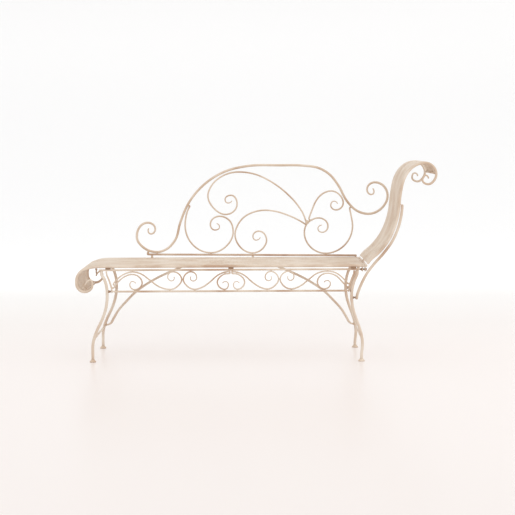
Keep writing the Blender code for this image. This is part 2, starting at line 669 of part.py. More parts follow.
APRON_SCROLLS = (("outer_c", APRON_OUTER_C, APRON_OUTER_C_RIGHT),
                 ("outer_s", APRON_OUTER_S, APRON_OUTER_S_RIGHT),
                 ("inner_s", APRON_INNER_S, mirrored(APRON_INNER_S)),
                 ("centre_c", APRON_CENTRE_C, mirrored(APRON_CENTRE_C)))
for kind, left_shape, right_shape in APRON_SCROLLS:
    for end, shape in (("left", left_shape), ("right", right_shape)):
        route = smooth_route(to_metres(shifted(shape, APRON_MIDDLE), apron_height))
        rod(f"apron_{kind}_{end}", route, -RAIL_Y, APRON_SCROLL_D, CREAM, sides=6, drawn_end=0.09)
for end, sign, route, leg in (("left", 1, end_routes[0], leg_routes["left"]),
                              ("right", -1, end_routes[1], leg_routes["right"])):
    leg_side = face_at(leg, LOW_RAIL_Z, BOLT_HEAD_D / 2, sign) + sign * (LEG_D / 2 + GAP)
    bar_side = face_at(route, LOW_RAIL_Z, BOLT_HEAD_D / 2, -sign) - sign * (APRON_END_D / 2 + GAP)
    cylinder(f"apron_bolt_{end}", ((leg_side + bar_side) / 2, -RAIL_Y, LOW_RAIL_Z), "X", BOLT_HEAD_D,
             abs(bar_side - leg_side), DARK_BOLTS, sides=10)

# ---- packing between the frame and the seat -----------------------------------------------------------
spacer_z = RAIL_Z - RAIL_D / 2 - GAP - SPACER_H / 2
for place, x in zip(("left", "middle", "right"), SPACERS_AT):
    box(f"apron_spacer_{place}", (along(x), -RAIL_Y, spacer_z), (SPACER_L, SPACER_W, SPACER_H),
        DARK_BOLTS)
plate_top = RAIL_Z - RAIL_D / 2 - GAP
for end, x in zip(("left", "right"), PLATES_AT):
    plate_bottom = leg_top + GAP
    box(f"rear_leg_plate_{end}", (along(x), RAIL_Y, (plate_top + plate_bottom) / 2),
        (PLATE_L, PLATE_W, plate_top - plate_bottom), CREAM_LEGS)

# ---- bolts that hang under the rails near the foot ---------------------------------------------
rail_there = [x_and_z for x_and_z in seat_route if x_and_z.x > along(-800)]
peg_top = min(z_at(rail_there, along(PEG_AT) + k * PEG_NUT_D / 2) for k in (-1, 0, 1)) - RAIL_D / 2 - GAP
for side, y in (("front", -RAIL_Y), ("back", RAIL_Y)):
    peg_profile = [(0.0, 0.0), (PEG_NUT_D / 2, 0.0), (PEG_NUT_D / 2, -PEG_NUT_H), (PEG_D / 2, -PEG_NUT_H),
                   (PEG_D / 2, -PEG_DROP), (0.0, -PEG_DROP)]
    turned(f"foot_end_bolt_{side}", peg_profile, (along(PEG_AT), y, peg_top), DARK_BOLTS, sides=10)

# ---- the scrolled back -----------------------------------------------------------------------------------
base_low = RAIL_Z + RAIL_D / 2 + BASE_D / 2
base_route = [Vector((along(BASE_FOOT_X), base_low + BASE_LIFT_FOOT)),
              Vector((along(BASE_HEAD_X), base_low + BASE_LIFT_HEAD))]
rod("back_base_rail", base_route, RAIL_Y, BASE_D, CREAM, sides=8)
rod("back_hoop", smooth_route(to_metres(HOOP, back_height)), RAIL_Y, HOOP_D, CREAM, sides=8,
    drawn_start=0.16, drawn_end=0.16)
BACK_SCROLLS = (("foot", BACK_FOOT_SCROLL), ("high", BACK_HIGH_SCROLL), ("low", BACK_LOW_SCROLL),
                ("top", BACK_TOP_SCROLL), ("head", BACK_HEAD_SCROLL))
for kind, points in BACK_SCROLLS:
    rod(f"back_{kind}_scroll", smooth_route(to_metres(points, back_height)), RAIL_Y, BACK_SCROLL_D, CREAM,
        sides=6, drawn_end=0.10)
rosette_y = RAIL_Y - BACK_SCROLL_D / 2 - GAP - ROSETTE_T / 2
cylinder("back_rosette", (along(HUB[0]), rosette_y, back_height(HUB[1])), "Y", ROSETTE_D, ROSETTE_T,
         CREAM, sides=16)
for place, x in (("foot", -514), ("middle", -18)):
    share = (along(x) - base_route[0].x) / (base_route[1].x - base_route[0].x)
    rail_bottom = base_route[0].y + share * (base_route[1].y - base_route[0].y) - BASE_D / 2
    low = RAIL_Z + RAIL_D / 2 + GAP
    high = rail_bottom - GAP
    cylinder(f"back_stub_{place}", (along(x), RAIL_Y, (low + high) / 2), "Z", STUB_D, high - low, CREAM,
             sides=10)
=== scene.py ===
# %% [markdown]
# # A scrolled iron daybed
#
# The real object is a garden daybed of mild steel bar, bent cold over a former, welded and bolted
# together, then painted antique cream and rubbed back by hand until the brown undercoat shows.
# Nothing in it moves, so every piece rides on the one body, "root".
#
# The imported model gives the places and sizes. It is faceted, because it also serves for
# collision, so every piece is made again here in the same place, rounder and with the marks of
# the hammer, the weld and the rubbing cloth.

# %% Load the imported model
import math

import bmesh
import bpy
from mathutils import Euler, Matrix, Vector, noise
from mathutils.kdtree import KDTree


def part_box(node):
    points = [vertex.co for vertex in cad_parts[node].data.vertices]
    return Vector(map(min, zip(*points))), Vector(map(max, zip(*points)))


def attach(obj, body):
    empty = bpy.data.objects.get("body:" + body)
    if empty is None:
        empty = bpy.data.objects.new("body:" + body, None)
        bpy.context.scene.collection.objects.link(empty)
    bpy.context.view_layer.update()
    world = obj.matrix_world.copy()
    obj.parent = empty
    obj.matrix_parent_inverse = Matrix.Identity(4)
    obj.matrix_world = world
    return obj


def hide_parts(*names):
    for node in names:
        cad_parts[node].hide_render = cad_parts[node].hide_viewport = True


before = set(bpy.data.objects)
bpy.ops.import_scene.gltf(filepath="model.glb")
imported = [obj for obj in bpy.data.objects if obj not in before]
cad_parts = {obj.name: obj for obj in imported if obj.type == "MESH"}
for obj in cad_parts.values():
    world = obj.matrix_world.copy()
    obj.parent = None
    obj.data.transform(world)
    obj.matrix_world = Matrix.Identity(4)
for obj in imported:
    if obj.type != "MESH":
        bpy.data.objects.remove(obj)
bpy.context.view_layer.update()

# %% [markdown]
# ## Camera
#
# A long lens from over seven metres away, a little above the seat, keeps the two long sides
# nearly on top of each other. That is how furniture makers show an outline. The camera is made
# first, so that each piece can be looked at as soon as it is there.

# %% Camera
CAMERA_PLACE = (0.0071, -7.65, 1.024)
CAMERA_PITCH = -4.177     # degrees, below the horizon
CAMERA_ROLL = -0.25
CAMERA_LENS = 112.47      # millimetres, on a sensor 36 mm wide
camera_data = bpy.data.cameras.new("long_lens")
camera_data.sensor_width = 36.0
camera_data.lens = CAMERA_LENS
camera = bpy.data.objects.new("camera", camera_data)
bpy.context.scene.collection.objects.link(camera)
upright = Euler((math.radians(90 + CAMERA_PITCH), 0.0, 0.0)).to_matrix()
camera.matrix_world = (Matrix.Translation(CAMERA_PLACE)
                       @ (upright @ Matrix.Rotation(math.radians(CAMERA_ROLL), 3, "Z")).to_4x4())
bpy.context.scene.camera = camera
print("camera", camera_data.lens, "mm")

# %% [markdown]
# ## Colours and nodes
#
# Colours are written as sRGB hex, the way a paint chart or a picture editor gives them, and one
# function turns them into the linear values that the shader wants. One more small function adds a
# node, sets it and links it, so a material reads as a list of what happens to the paint.

# %% Colour and node helpers
def linear(hex_colour):
    """An sRGB hex colour as linear RGBA."""
    channels = [int(hex_colour[k:k + 2], 16) / 255 for k in (0, 2, 4)]
    return [c / 12.92 if c <= 0.04045 else ((c + 0.055) / 1.055) ** 2.4 for c in channels] + [1.0]


def feed(tree, node, links):
    """Feeds sockets of a node, each from a (node, output)."""
    for key, (source, output) in links.items():
        tree.links.new(source.outputs[output], node.inputs[key])


def add_node(tree, kind, settings=None, links=None, stops=None):
    """Adds a shader node. settings sets its sockets and properties, links feeds its sockets."""
    node = tree.nodes.new("ShaderNode" + kind)
    for key, value in (settings or {}).items():
        if key in node.inputs.keys() or isinstance(key, int):
            node.inputs[key].default_value = value
        else:
            setattr(node, key, value)
    feed(tree, node, links or {})
    if stops:
        ramp = node.color_ramp
        while len(ramp.elements) > 1:
            ramp.elements.remove(ramp.elements[-1])
        for index, (place, colour) in enumerate(stops):
            element = ramp.elements[0] if index == 0 else ramp.elements.new(place)
            element.position = place
            element.color = colour if not isinstance(colour, str) else linear(colour)
    return node


def new_material(name, metallic, roughness):
    """An empty Principled material with the values that are the same all over it."""
    material = bpy.data.materials.new(name)
    material.use_nodes = True
    tree = material.node_tree
    shader = tree.nodes["Principled BSDF"]
    shader.inputs["Metallic"].default_value = metallic
    shader.inputs["Roughness"].default_value = roughness
    return material, tree, shader


def per_mm(size_mm):
    """The Noise scale that gives features of about this size, for coordinates in metres."""
    return 1000.0 / size_mm


print("cream", [round(v, 3) for v in linear("E5D7C7")])

# %% [markdown]
# ## Stage
#
# A pale, slightly glossy floor turns up into a backdrop in one curved sheet, so no horizon shows.
# It is warm and a little darker near the bed and turns brighter and white behind it. It glows a
# little, like a lit acrylic table top, but this glow is painted light in the same tone: it thins
# the shadow under the slats and paints the floor's brightening towards the back. The sky gives an
# even white light, a big soft box at the upper right gives each round bar a bright and a dark
# side, and a weaker one at the left keeps the dark side from closing up.

# %% Cove
def cove_profile():
    """The floor's run towards the back, then a quarter turn up into the backdrop."""
    near, turn_at, radius, top, steps = -32.0, 4.5, 2.5, 9.0, 16
    places = [(near, 0.0)]
    for step in range(steps + 1):
        angle = math.radians(90) * step / steps
        places.append((turn_at + radius * math.sin(angle), radius * (1 - math.cos(angle))))
    places.append((turn_at + radius, top))
    return places


FADE_FROM, FADE_TO = 0.2, 4.6       # metres behind the bed over which the floor's colour and its painted glow turn from warm to white
COVE_GLOW = 0.72


def cove_paint_and_glow():
    material, tree, shader = new_material("satin_cove_paint_with_painted_glow", 0.0, 0.30)
    where = add_node(tree, "TexCoord")
    parts = add_node(tree, "SeparateXYZ", links={"Vector": (where, "Object")})
    depth = add_node(tree, "MapRange", {"From Min": FADE_FROM, "From Max": FADE_TO},
                     {"Value": (parts, "Y")})
    # Warm and a little darker near the bed, brighter and white far behind it.
    tone = add_node(tree, "ValToRGB", links={"Fac": (depth, "Result")},
                    stops=[(0.0, "B7B1AE"), (0.25, "B4AFAC"), (0.6, "B5B3B1"), (1.0, "C2C2C2")])
    # The floor glows in its own tone: painted light that thins the shadow under the bed and brightens the
    # floor towards the back.
    feed(tree, shader, {"Base Color": (tone, "Color"), "Emission Color": (tone, "Color")})
    shader.inputs["Emission Strength"].default_value = COVE_GLOW
    return material


profile = cove_profile()
half_width = 32.0           # wide enough that its edge is never in view
cove_mesh = bpy.data.meshes.new("cove")
corners = [(x, y, z) for y, z in profile for x in (-half_width, half_width)]
quads = [(2 * k, 2 * k + 1, 2 * k + 3, 2 * k + 2) for k in range(len(profile) - 1)]
cove_mesh.from_pydata(corners, [], quads)
cove_mesh.materials.append(cove_paint_and_glow())
cove_mesh.shade_smooth()
cove = bpy.data.objects.new("cove", cove_mesh)
bpy.context.scene.collection.objects.link(cove)
print("cove", len(quads), "faces")


# %% Light
def soft_box(name, place, aim, size, watts, colour):
    data = bpy.data.lights.new(name, "AREA")
    data.shape = "RECTANGLE"
    data.size, data.size_y = size
    data.energy = watts
    data.color = linear(colour)[:3]
    light = bpy.data.objects.new(name, data)
    light.location = place
    light.rotation_euler = (Vector(aim) - Vector(place)).to_track_quat("-Z", "Y").to_euler()
    bpy.context.scene.collection.objects.link(light)


SKY_STRENGTH = 0.985
world = bpy.data.worlds.new("even_white_sky")
world.use_nodes = True
sky = world.node_tree.nodes["Background"]
sky.inputs["Color"].default_value = linear("FFFFFF")
sky.inputs["Strength"].default_value = SKY_STRENGTH
bpy.context.scene.world = world
bpy.context.scene.view_settings.view_transform = "Standard"
soft_box("soft_box_right", (4.6, -2.6, 3.6), (0.1, 0.0, 0.4), (4.2, 4.2), 58.0, "FFFDFA")
soft_box("soft_box_left", (-4.2, -4.0, 3.0), (-0.1, 0.0, 0.4), (3.2, 3.2), 15.0, "FFFDFA")
soft_box("backdrop_wash", (0.0, 2.6, 4.6), (0.0, 6.5, 2.0), (9.0, 1.5), 30.0, "FFFFFF")

# %% [markdown]
# ## Rubbed cream enamel
#
# The finish is an oil enamel over a red-brown undercoat. While the top coat is still soft it is
# rubbed along the bar with a rough cloth, so the brown shows as streaks that follow the bar, as
# specks where the steel was rough, and most of all on edges, tips and welds. Paint is not a
# metal: metallic stays 0, IOR stays near 1.5, and the satin comes from roughness of about 0.45.
#
# Two values painted on each mesh steer it. `grain` unrolls the bar: its x runs along the bar
# whatever way it bends, so streaks turn with the scroll. `rub_and_shade` is 1 where the cloth
# pressed most, and round the lower edge of each foot, where it carries painted shade.
# A streak on the real bar is under a millimetre wide. Here it is 3 mm, so that it can be seen.

# %% Enamel
STREAK_LENGTH_MM = 28.0
STREAK_WIDTH_MM = 3.0
SPECK_MM = 5.0
PATCH_MM = 120.0
BRUSH_RIDGE_MM = 1.6
PATCH_PUSH, STREAK_PUSH, SPECK_PUSH, RUB_PUSH = 0.40, 0.75, 0.45, 0.16   # say of each in the wear
WEAR_STARTS, WEAR_ENDS = 0.80, 1.12


def rubbed_enamel(name, cream, shade, rubbed, undercoat, worn_share, roughness=0.46):
    """Cream enamel over brown: cream where it is whole, shade where it is thin, rubbed where the brown
    glows through, undercoat where it is gone. worn_share moves that last edge."""
    material, tree, shader = new_material(name, 0.0, roughness)
    shader.inputs["IOR"].default_value = 1.5
    where = add_node(tree, "TexCoord")
    grain = add_node(tree, "Attribute", {"attribute_name": "grain"})
    rub_and_shade = add_node(tree, "Attribute", {"attribute_name": "rub_and_shade"})
    unrolled = add_node(tree, "Mapping", {"Scale": (per_mm(STREAK_LENGTH_MM),
                        per_mm(STREAK_WIDTH_MM), per_mm(STREAK_WIDTH_MM))}, {"Vector": (grain, "Vector")})
    streak = add_node(tree, "TexNoise", {"Scale": 1.0, "Detail": 3.0, "Roughness": 0.55},
                      {"Vector": (unrolled, "Vector")})
    speck = add_node(tree, "TexNoise", {"Scale": per_mm(SPECK_MM), "Detail": 4.0,
                     "Roughness": 0.7}, {"Vector": (where, "Object")})
    patch = add_node(tree, "TexNoise", {"Scale": per_mm(PATCH_MM), "Detail": 2.0},
                     {"Vector": (where, "Object")})
    wear = add_node(tree, "Math", {"operation": "MULTIPLY_ADD", 1: PATCH_PUSH,
                    2: -PATCH_PUSH / 2}, {0: (patch, "Fac")})
    for source, push in ((streak, STREAK_PUSH), (speck, SPECK_PUSH), (rub_and_shade, RUB_PUSH)):
        wear = add_node(tree, "Math", {"operation": "MULTIPLY_ADD", 1: push},
                        {0: (source, "Fac"), 2: (wear, "Value")})
    worn = add_node(tree, "MapRange", {"From Min": WEAR_STARTS - worn_share,
                    "From Max": WEAR_ENDS - worn_share, "interpolation_type": "SMOOTHSTEP"},
                    {"Value": (wear, "Value")})
    coat = add_node(tree, "ValToRGB", links={"Fac": (patch, "Fac")},
                    stops=[(0.36, cream), (0.52, shade), (0.66, rubbed)])
    colour = add_node(tree, "Mix", {"data_type": "RGBA", 7: linear(undercoat)},
                      {0: (worn, "Result"), 6: (coat, "Color")})
    duller = add_node(tree, "MapRange", {"To Min": roughness, "To Max": roughness + 0.22},
                      {"Value": (worn, "Result")})
    ridges = add_node(tree, "Mapping", {"Scale": (per_mm(STREAK_LENGTH_MM / 2),
                      per_mm(BRUSH_RIDGE_MM), per_mm(BRUSH_RIDGE_MM))}, {"Vector": (grain, "Vector")})
    ridge = add_node(tree, "TexNoise", {"Scale": 1.0, "Detail": 2.0},
                     {"Vector": (ridges, "Vector")})
    height = add_node(tree, "Math", {"operation": "MULTIPLY_ADD", 1: -0.6},
                      {0: (worn, "Result"), 2: (ridge, "Fac")})
    bump = add_node(tree, "Bump", {"Strength": 0.35, "Distance": 0.0004},
                    {"Height": (height, "Value")})
    feed(tree, shader, {"Base Color": (colour, 2), "Roughness": (duller, "Result"),
                        "Normal": (bump, "Normal")})
    return material


FRAME_ENAMEL = rubbed_enamel("rubbed_cream_enamel", "E4D4C2", "D5BFA9", "C3A288", "A07A5F", 0.05)
SLAT_ENAMEL = rubbed_enamel("rubbed_cream_enamel_on_slats", "E5D7C7", "DECDBA", "D8C4AF", "BC9B81",
                            0.02, 0.52)
# A darker copy of the cream enamel with a little more wear: the darkening is painted shade on the rail at
# the back.
BACK_RAIL_SHADED_ENAMEL = rubbed_enamel("enamel_with_wear_and_painted_shade_on_back_rails", "D3BBA5", "C6A78F", "B68F75",
                                 "94705A", 0.08)
HEAD_RAIL_ENAMEL = rubbed_enamel("rubbed_cream_enamel_on_headrest_rails", "EADDCD", "DECCB8", "D2BAA3",
                                 "B08D72", 0.02)
LEG_ENAMEL = rubbed_enamel("rubbed_cream_enamel_on_legs", "EADECE", "DFCDBA", "D4BBA5", "A98468", 0.05)
# The feet's enamel has a little more wear; its undercoat brown also paints the shade round each foot's lower
# edge.
FOOT_ENAMEL = rubbed_enamel("foot_enamel_with_wear_and_painted_shade", "E8D9C8", "DAC5AF", "CBAE95", "A07E64",
                            0.08, 0.5)
print("materials so far", [material.name for material in bpy.data.materials])

# %% [markdown]
# ## Oxidised fasteners
#
# The bolts, nuts and packing blocks were left bare and have gone brown. Mild steel with a thin
# even rust is still partly metallic, but its light is dull and warm. The rust lies in blotches a
# few millimetres wide.

# %% Brown steel
RUST_BLOTCH_MM = 4.0


def browned_steel(name, dark, light):
    material, tree, shader = new_material(name, 0.5, 0.5)
    where = add_node(tree, "TexCoord")
    blotch = add_node(tree, "TexNoise", {"Scale": per_mm(RUST_BLOTCH_MM), "Detail": 4.0,
                      "Roughness": 0.65}, {"Vector": (where, "Object")})
    tone = add_node(tree, "ValToRGB", links={"Fac": (blotch, "Fac")},
                    stops=[(0.35, dark), (0.65, light)])
    dull = add_node(tree, "MapRange", {"To Min": 0.38, "To Max": 0.66},
                    {"Value": (blotch, "Fac")})
    bare = add_node(tree, "MapRange", {"From Min": 0.35, "From Max": 0.6, "To Min": 0.05,
                    "To Max": 0.3}, {"Value": (blotch, "Fac")})
    bump = add_node(tree, "Bump", {"Strength": 0.3, "Distance": 0.0003},
                    {"Height": (blotch, "Fac")})
    feed(tree, shader, {"Base Color": (tone, "Color"), "Roughness": (dull, "Result"),
                        "Metallic": (bare, "Result"), "Normal": (bump, "Normal")})
    return material


BROWN_STEEL = browned_steel("browned_mild_steel", "9A7458", "BD9C80")
print("fastener metal", BROWN_STEEL.name)

# %% [markdown]
# ## Bending a bar
#
# A smith draws the scroll on the bench in chalk and bends the bar to the drawing. Each template
# is such a drawing: points in millimetres along and above the floor, with the direction of the
# bar, in degrees, where it is known. Between two points runs a cubic that is as near to one arc
# as a cubic gets, and it is cut into short pieces where the bend is tight.

# %% From a drawing to a smooth line
MIDDLE_MM = -2.07           # x of the bed's middle in the drawings


def headings(points):
    """Direction at each point: as drawn, or of the circle through its neighbours."""
    places = [Vector(point[:2]) for point in points]
    result = []
    for index, point in enumerate(points):
        if len(point) == 3:
            angle = math.radians(point[2])
            result.append(Vector((math.cos(angle), math.sin(angle))))
            continue
        middle = min(max(index, 1), len(points) - 2)
        before = places[middle] - places[middle - 1]
        after = places[middle + 1] - places[middle]
        tangent = (before / before.length_squared + after / after.length_squared).normalized()
        if index in (0, len(points) - 1):
            chord = (before if index == 0 else after).normalized()
            tangent = 2 * tangent.dot(chord) * chord - tangent
        result.append(tangent)
    return result


MOST_BEND = math.radians(6)     # of one short piece
LONGEST_PIECE = 0.02            # metres


def bend(points):
    """The drawn points, already in metres, as a line of short pieces."""
    places = [Vector(point[:2]) for point in points]
    tangents = headings(points)
    line = [places[0]]
    for index in range(len(places) - 1):
        start, end = places[index], places[index + 1]
        go, come = tangents[index], tangents[index + 1]
        chord = end - start
        turn = abs(go.angle_signed(chord, 0.0)) + abs(chord.angle_signed(come, 0.0))
        handle = chord.length / (3 * math.cos(turn / 4) ** 2)
        pieces = max(1, math.ceil(turn / MOST_BEND), math.ceil(chord.length / LONGEST_PIECE))
        for k in range(1, pieces + 1):
            t = k / pieces
            s = 1 - t
            line.append(start * s ** 3 + (start + go * handle) * 3 * s * s * t
                        + (end - come * handle) * 3 * s * t * t + end * t ** 3)
    return line


def drawn(points, height=lambda z_mm: z_mm / 1000, shift=0.0):
    """A template in metres, with the bed's middle at x = 0."""
    return [((x + shift - MIDDLE_MM) / 1000, height(z), *rest) for x, z, *rest in points]


def mirrored(points, middle=0.0):
    """The same template seen in a mirror across x = middle."""
    return [(2 * middle - x, z, *(180 - angle for angle in rest)) for x, z, *rest in points]


def direction_at(line, index):
    return (line[min(index + 1, len(line) - 1)] - line[max(index - 1, 0)]).normalized()


def to_left(direction):
    return Vector((-direction.y, direction.x))


def beside(line, distance):
    """The line moved sideways, to the left of its direction when distance is positive."""
    return [place + to_left(direction_at(line, index)) * distance for index, place in enumerate(line)]


print("a quarter turn", len(bend([(0, 0, 0), (0.1, 0.1, 90)])), "points")

# %% [markdown]
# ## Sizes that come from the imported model
#
# Bars and bolts take their places from the boxes of their solids, so that they sit where the
# collision model has them.

# %% Places
def middle_of(node):
    low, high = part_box(node)
    return (low + high) / 2


RAIL_D, CROSS_D, LEG_D, BRACE_D, SUPPORT_D = 0.012, 0.012, 0.014, 0.012, 0.013
HOOP_D, BASE_D, SCROLL_D, ROLL_BAR_D, STRETCHER_D = 0.012, 0.010, 0.008, 0.008, 0.010
APRON_RAIL_D, APRON_END_D, APRON_SCROLL_D = 0.009, 0.008, 0.007
SLAT_W, SLAT_T, SLAT_PITCH, SLAT_COUNT = 0.020, 0.003, 0.032, 15
GAP = 0.0003                # left between pieces that touch
RAIL_Y = middle_of("seat_rail_back").y
RAIL_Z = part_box("seat_rail_front")[1].z - RAIL_D / 2
TOP_RAIL_Z = middle_of("apron_top_rail").z
LOW_RAIL_Z = middle_of("apron_lower_rail").z
LEG_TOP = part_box("leg_front_left")[1].z
FOOT_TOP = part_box("leg_front_left")[0].z
JOINT_X = middle_of("seat_joint_bar").x
HEAD_JOINT_X = middle_of("headrest_joint_bar").x
# Heights in the drawings: the scrolls' lowest and highest middles, the legs' ends and knee.
SCROLL_LOW_MM, SCROLL_HIGH_MM = 336.3, 419.7
FOOT_MM, KNEE_MM, LEG_TOP_MM = 14.0, 320.0, 423.0
KNEE_DROP = 0.0087          # metres from the apron's lower rail down to the knee


def apron_height(z_mm):
    """Scroll heights, shared out between the apron's two rails."""
    reach = (APRON_RAIL_D + APRON_SCROLL_D) / 2 + GAP
    low, high = LOW_RAIL_Z + reach, TOP_RAIL_Z - reach
    return low + (z_mm - SCROLL_LOW_MM) / (SCROLL_HIGH_MM - SCROLL_LOW_MM) * (high - low)


def leg_height(z_mm):
    """Leg heights: one share beside the apron, another from the knee down to the foot."""
    knee_z = LOW_RAIL_Z - KNEE_DROP
    if z_mm > KNEE_MM:
        return knee_z + (z_mm - KNEE_MM) / (LEG_TOP_MM - KNEE_MM) * (LEG_TOP - knee_z)
    return FOOT_TOP + (z_mm - FOOT_MM) / (KNEE_MM - FOOT_MM) * (knee_z - FOOT_TOP)


def x_at(line, z):
    """Where a line crosses a height."""
    for start, end in zip(line, line[1:]):
        if (start.y - z) * (end.y - z) <= 0 and start.y != end.y:
            return start.x + (end.x - start.x) * (z - start.y) / (end.y - start.y)
    return line[-1].x


print("rail", round(RAIL_Y, 4), round(RAIL_Z, 4), "apron", round(TOP_RAIL_Z, 4), round(LOW_RAIL_Z, 4))

# %% [markdown]
# ## From a line to steel
#
# Three helpers make nearly everything. `sweep` pulls a section along a line, which is what a
# rolling mill and a bending jig do; the ring at each step also gets the two painted values. A
# real bar is never exactly round, so its thickness wanders by about one per cent. `lathe` turns a
# profile, for feet, nuts and caps. `finish_piece` joins such shells into one object, gives it its
# enamel and lets it ride on the bed.

# %% Sweep
ROUND_SIDES = 14
WANDER = 0.011              # share by which a forged bar's thickness wanders
WANDERS_PER_METRE = 35.0
TIP_RUB = 0.02              # metres of a bar's end that the cloth rubs most
DOME_ANGLES = [math.radians(angle) for angle in (78, 52, 26, 0)]


def round_section(diameter):
    angles = [math.tau * k / ROUND_SIDES for k in range(ROUND_SIDES)]
    return [(math.cos(angle) * diameter / 2, math.sin(angle) * diameter / 2) for angle in angles]


def rub_of_edge(offset, reach, width):
    """1 at an edge and 0 further in than width."""
    return max(0.0, 1.0 - (reach - abs(offset)) / width)


def forged(along, seed):
    """The share of its full thickness that a bar has at a place."""
    return 1.0 - WANDER * (1.0 + noise.noise((along * WANDERS_PER_METRE, seed, 0.0)))


def tube_faces(rings, sides):
    """The faces between rings of equal count, and one across each end."""
    faces = []
    for ring in range(rings - 1):
        for k in range(sides):
            here, after = ring * sides + k, ring * sides + (k + 1) % sides
            faces.append((here, after, after + sides, here + sides))
    return faces + [tuple(reversed(range(sides))), tuple(range((rings - 1) * sides, rings * sides))]


def sweep(line, y, section, seed, dome=0.0, shape=None, edge_rub=None):
    """A shell along a line in the x-z plane. shape(from_start, from_end) scales the two widths."""
    reached = [0.0]
    for start, end in zip(line, line[1:]):
        reached.append(reached[-1] + (end - start).length)
    total = reached[-1]
    rings = [(place, direction_at(line, index), reached[index], 1.0) for index, place in enumerate(line)]
    if dome > 0:
        first, go = rings[0][:2]
        last, come = rings[-1][:2]
        opening = [(first + go * dome - go * dome * math.sin(a), go, dome * (1 - math.sin(a)), math.cos(a))
                   for a in DOME_ANGLES]
        closing = [(last - come * dome + come * dome * math.sin(a), come,
                    total - dome * (1 - math.sin(a)), math.cos(a)) for a in reversed(DOME_ANGLES)]
        rings = opening + [ring for ring in rings if dome < ring[2] < total - dome] + closing
    verts, grains, rubs = [], [], []
    for place, direction, along, small in rings:
        out = to_left(direction)
        across, thick = shape(along, total - along) if shape else (1.0, 1.0)
        wander = forged(along, seed)
        tip = max(0.0, 1.0 - min(along, total - along) / TIP_RUB)
        for a, b in section:
            p, q = a * small * across * wander, b * small * thick * wander
            spot = place + out * q
            verts.append((spot.x, y + p, spot.y))
            grains.append((along + seed, a, b))
            rubs.append(max(tip * 0.8, edge_rub(a, b) if edge_rub else 0.0))
    return verts, tube_faces(len(rings), len(section)), grains, rubs


print("round bars have", ROUND_SIDES, "sides and are nowhere under", 1 - 2 * WANDER, "of full thickness")

# %% Lathe
def lathe(profile, place, axis="Z", sides=28, outline=None, rub_and_shade=0.2):
    """A turned shell from (radius, height) pairs. outline(angle) makes it other than round, and
    rub is a number or depends on the height."""
    verts, grains, rubs = [], [], []
    degrees, about = {"Z": (0, "Z"), "X": (90, "Y"), "-X": (-90, "Y"), "Y": (-90, "X"),
                      "-Y": (90, "X")}[axis]
    turn = Matrix.Rotation(math.radians(degrees), 3, about)
    for radius, height in profile:
        for k in range(sides):
            angle = math.tau * k / sides
            reach = min(radius, outline(angle)) if outline else radius
            spot = turn @ Vector((reach * math.cos(angle), reach * math.sin(angle), height))
            verts.append(tuple(spot + Vector(place)))
            grains.append((height, reach * math.cos(angle), reach * math.sin(angle)))
            rubs.append(rub_and_shade(height) if callable(rub_and_shade) else rub_and_shade)
    return verts, tube_faces(len(profile), sides), grains, rubs


print("a turned disc", len(lathe([(0.01, 0.0), (0.01, 0.002)], (0, 0, 0))[1]), "faces")

# %% Filed plate
def slab(centre, size, tilt=0.0, edge=0.0008):
    """A plate with its edges broken by a file. tilt turns it about the y axis, in degrees."""
    work = bmesh.new()
    bmesh.ops.create_cube(work, size=1.0)
    bmesh.ops.scale(work, vec=size, verts=work.verts)
    bmesh.ops.bevel(work, geom=list(work.edges), offset=edge, segments=2, affect="EDGES")
    bmesh.ops.rotate(work, cent=(0, 0, 0), matrix=Matrix.Rotation(math.radians(tilt), 3, "Y"),
                     verts=work.verts)
    work.verts.index_update()
    verts = [tuple(v.co + Vector(centre)) for v in work.verts]
    faces = [tuple(v.index for v in face.verts) for face in work.faces]
    grains = [(v.co.y, v.co.x, v.co.z) for v in work.verts]
    work.free()
    return verts, faces, grains, [0.35] * len(verts)


print("a filed plate", len(slab((0, 0, 0), (0.02, 0.02, 0.004))[1]), "faces")


def finish_piece(name, shells, material, *nodes, crease=35):
    """One object from some shells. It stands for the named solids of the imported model."""
    verts, faces, grains, rubs = [], [], [], []
    for shell in shells:
        base = len(verts)
        verts += shell[0]
        faces += [tuple(base + k for k in face) for face in shell[1]]
        grains += shell[2]
        rubs += shell[3]
    mesh = bpy.data.meshes.new(name)
    mesh.from_pydata(verts, [], faces)
    work = bmesh.new()
    work.from_mesh(mesh)
    bmesh.ops.recalc_face_normals(work, faces=work.faces)
    work.to_mesh(mesh)
    work.free()
    mesh.attributes.new("grain", "FLOAT_VECTOR", "POINT").data.foreach_set(
        "vector", [value for grain in grains for value in grain])
    mesh.attributes.new("rub_and_shade", "FLOAT", "POINT").data.foreach_set("value", rubs)
    mesh.materials.append(material)
    mesh.shade_smooth()
    mesh.set_sharp_from_angle(angle=math.radians(crease))
    piece = bpy.data.objects.new(name, mesh)
    bpy.context.scene.collection.objects.link(piece)
    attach(piece, "root")
    if nodes:
        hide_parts(*nodes)
    return piece


# %% [markdown]
# ## Side rails
#
# Each side is two 12 mm round bars. The seat rail ends in a tight roll at the foot, and the
# headrest rail sweeps up and over into a second roll. The smith draws the last hand's breath down
# on the anvil, so the tip is thinner and flatter than the bar. `drawn_down` is that taper.

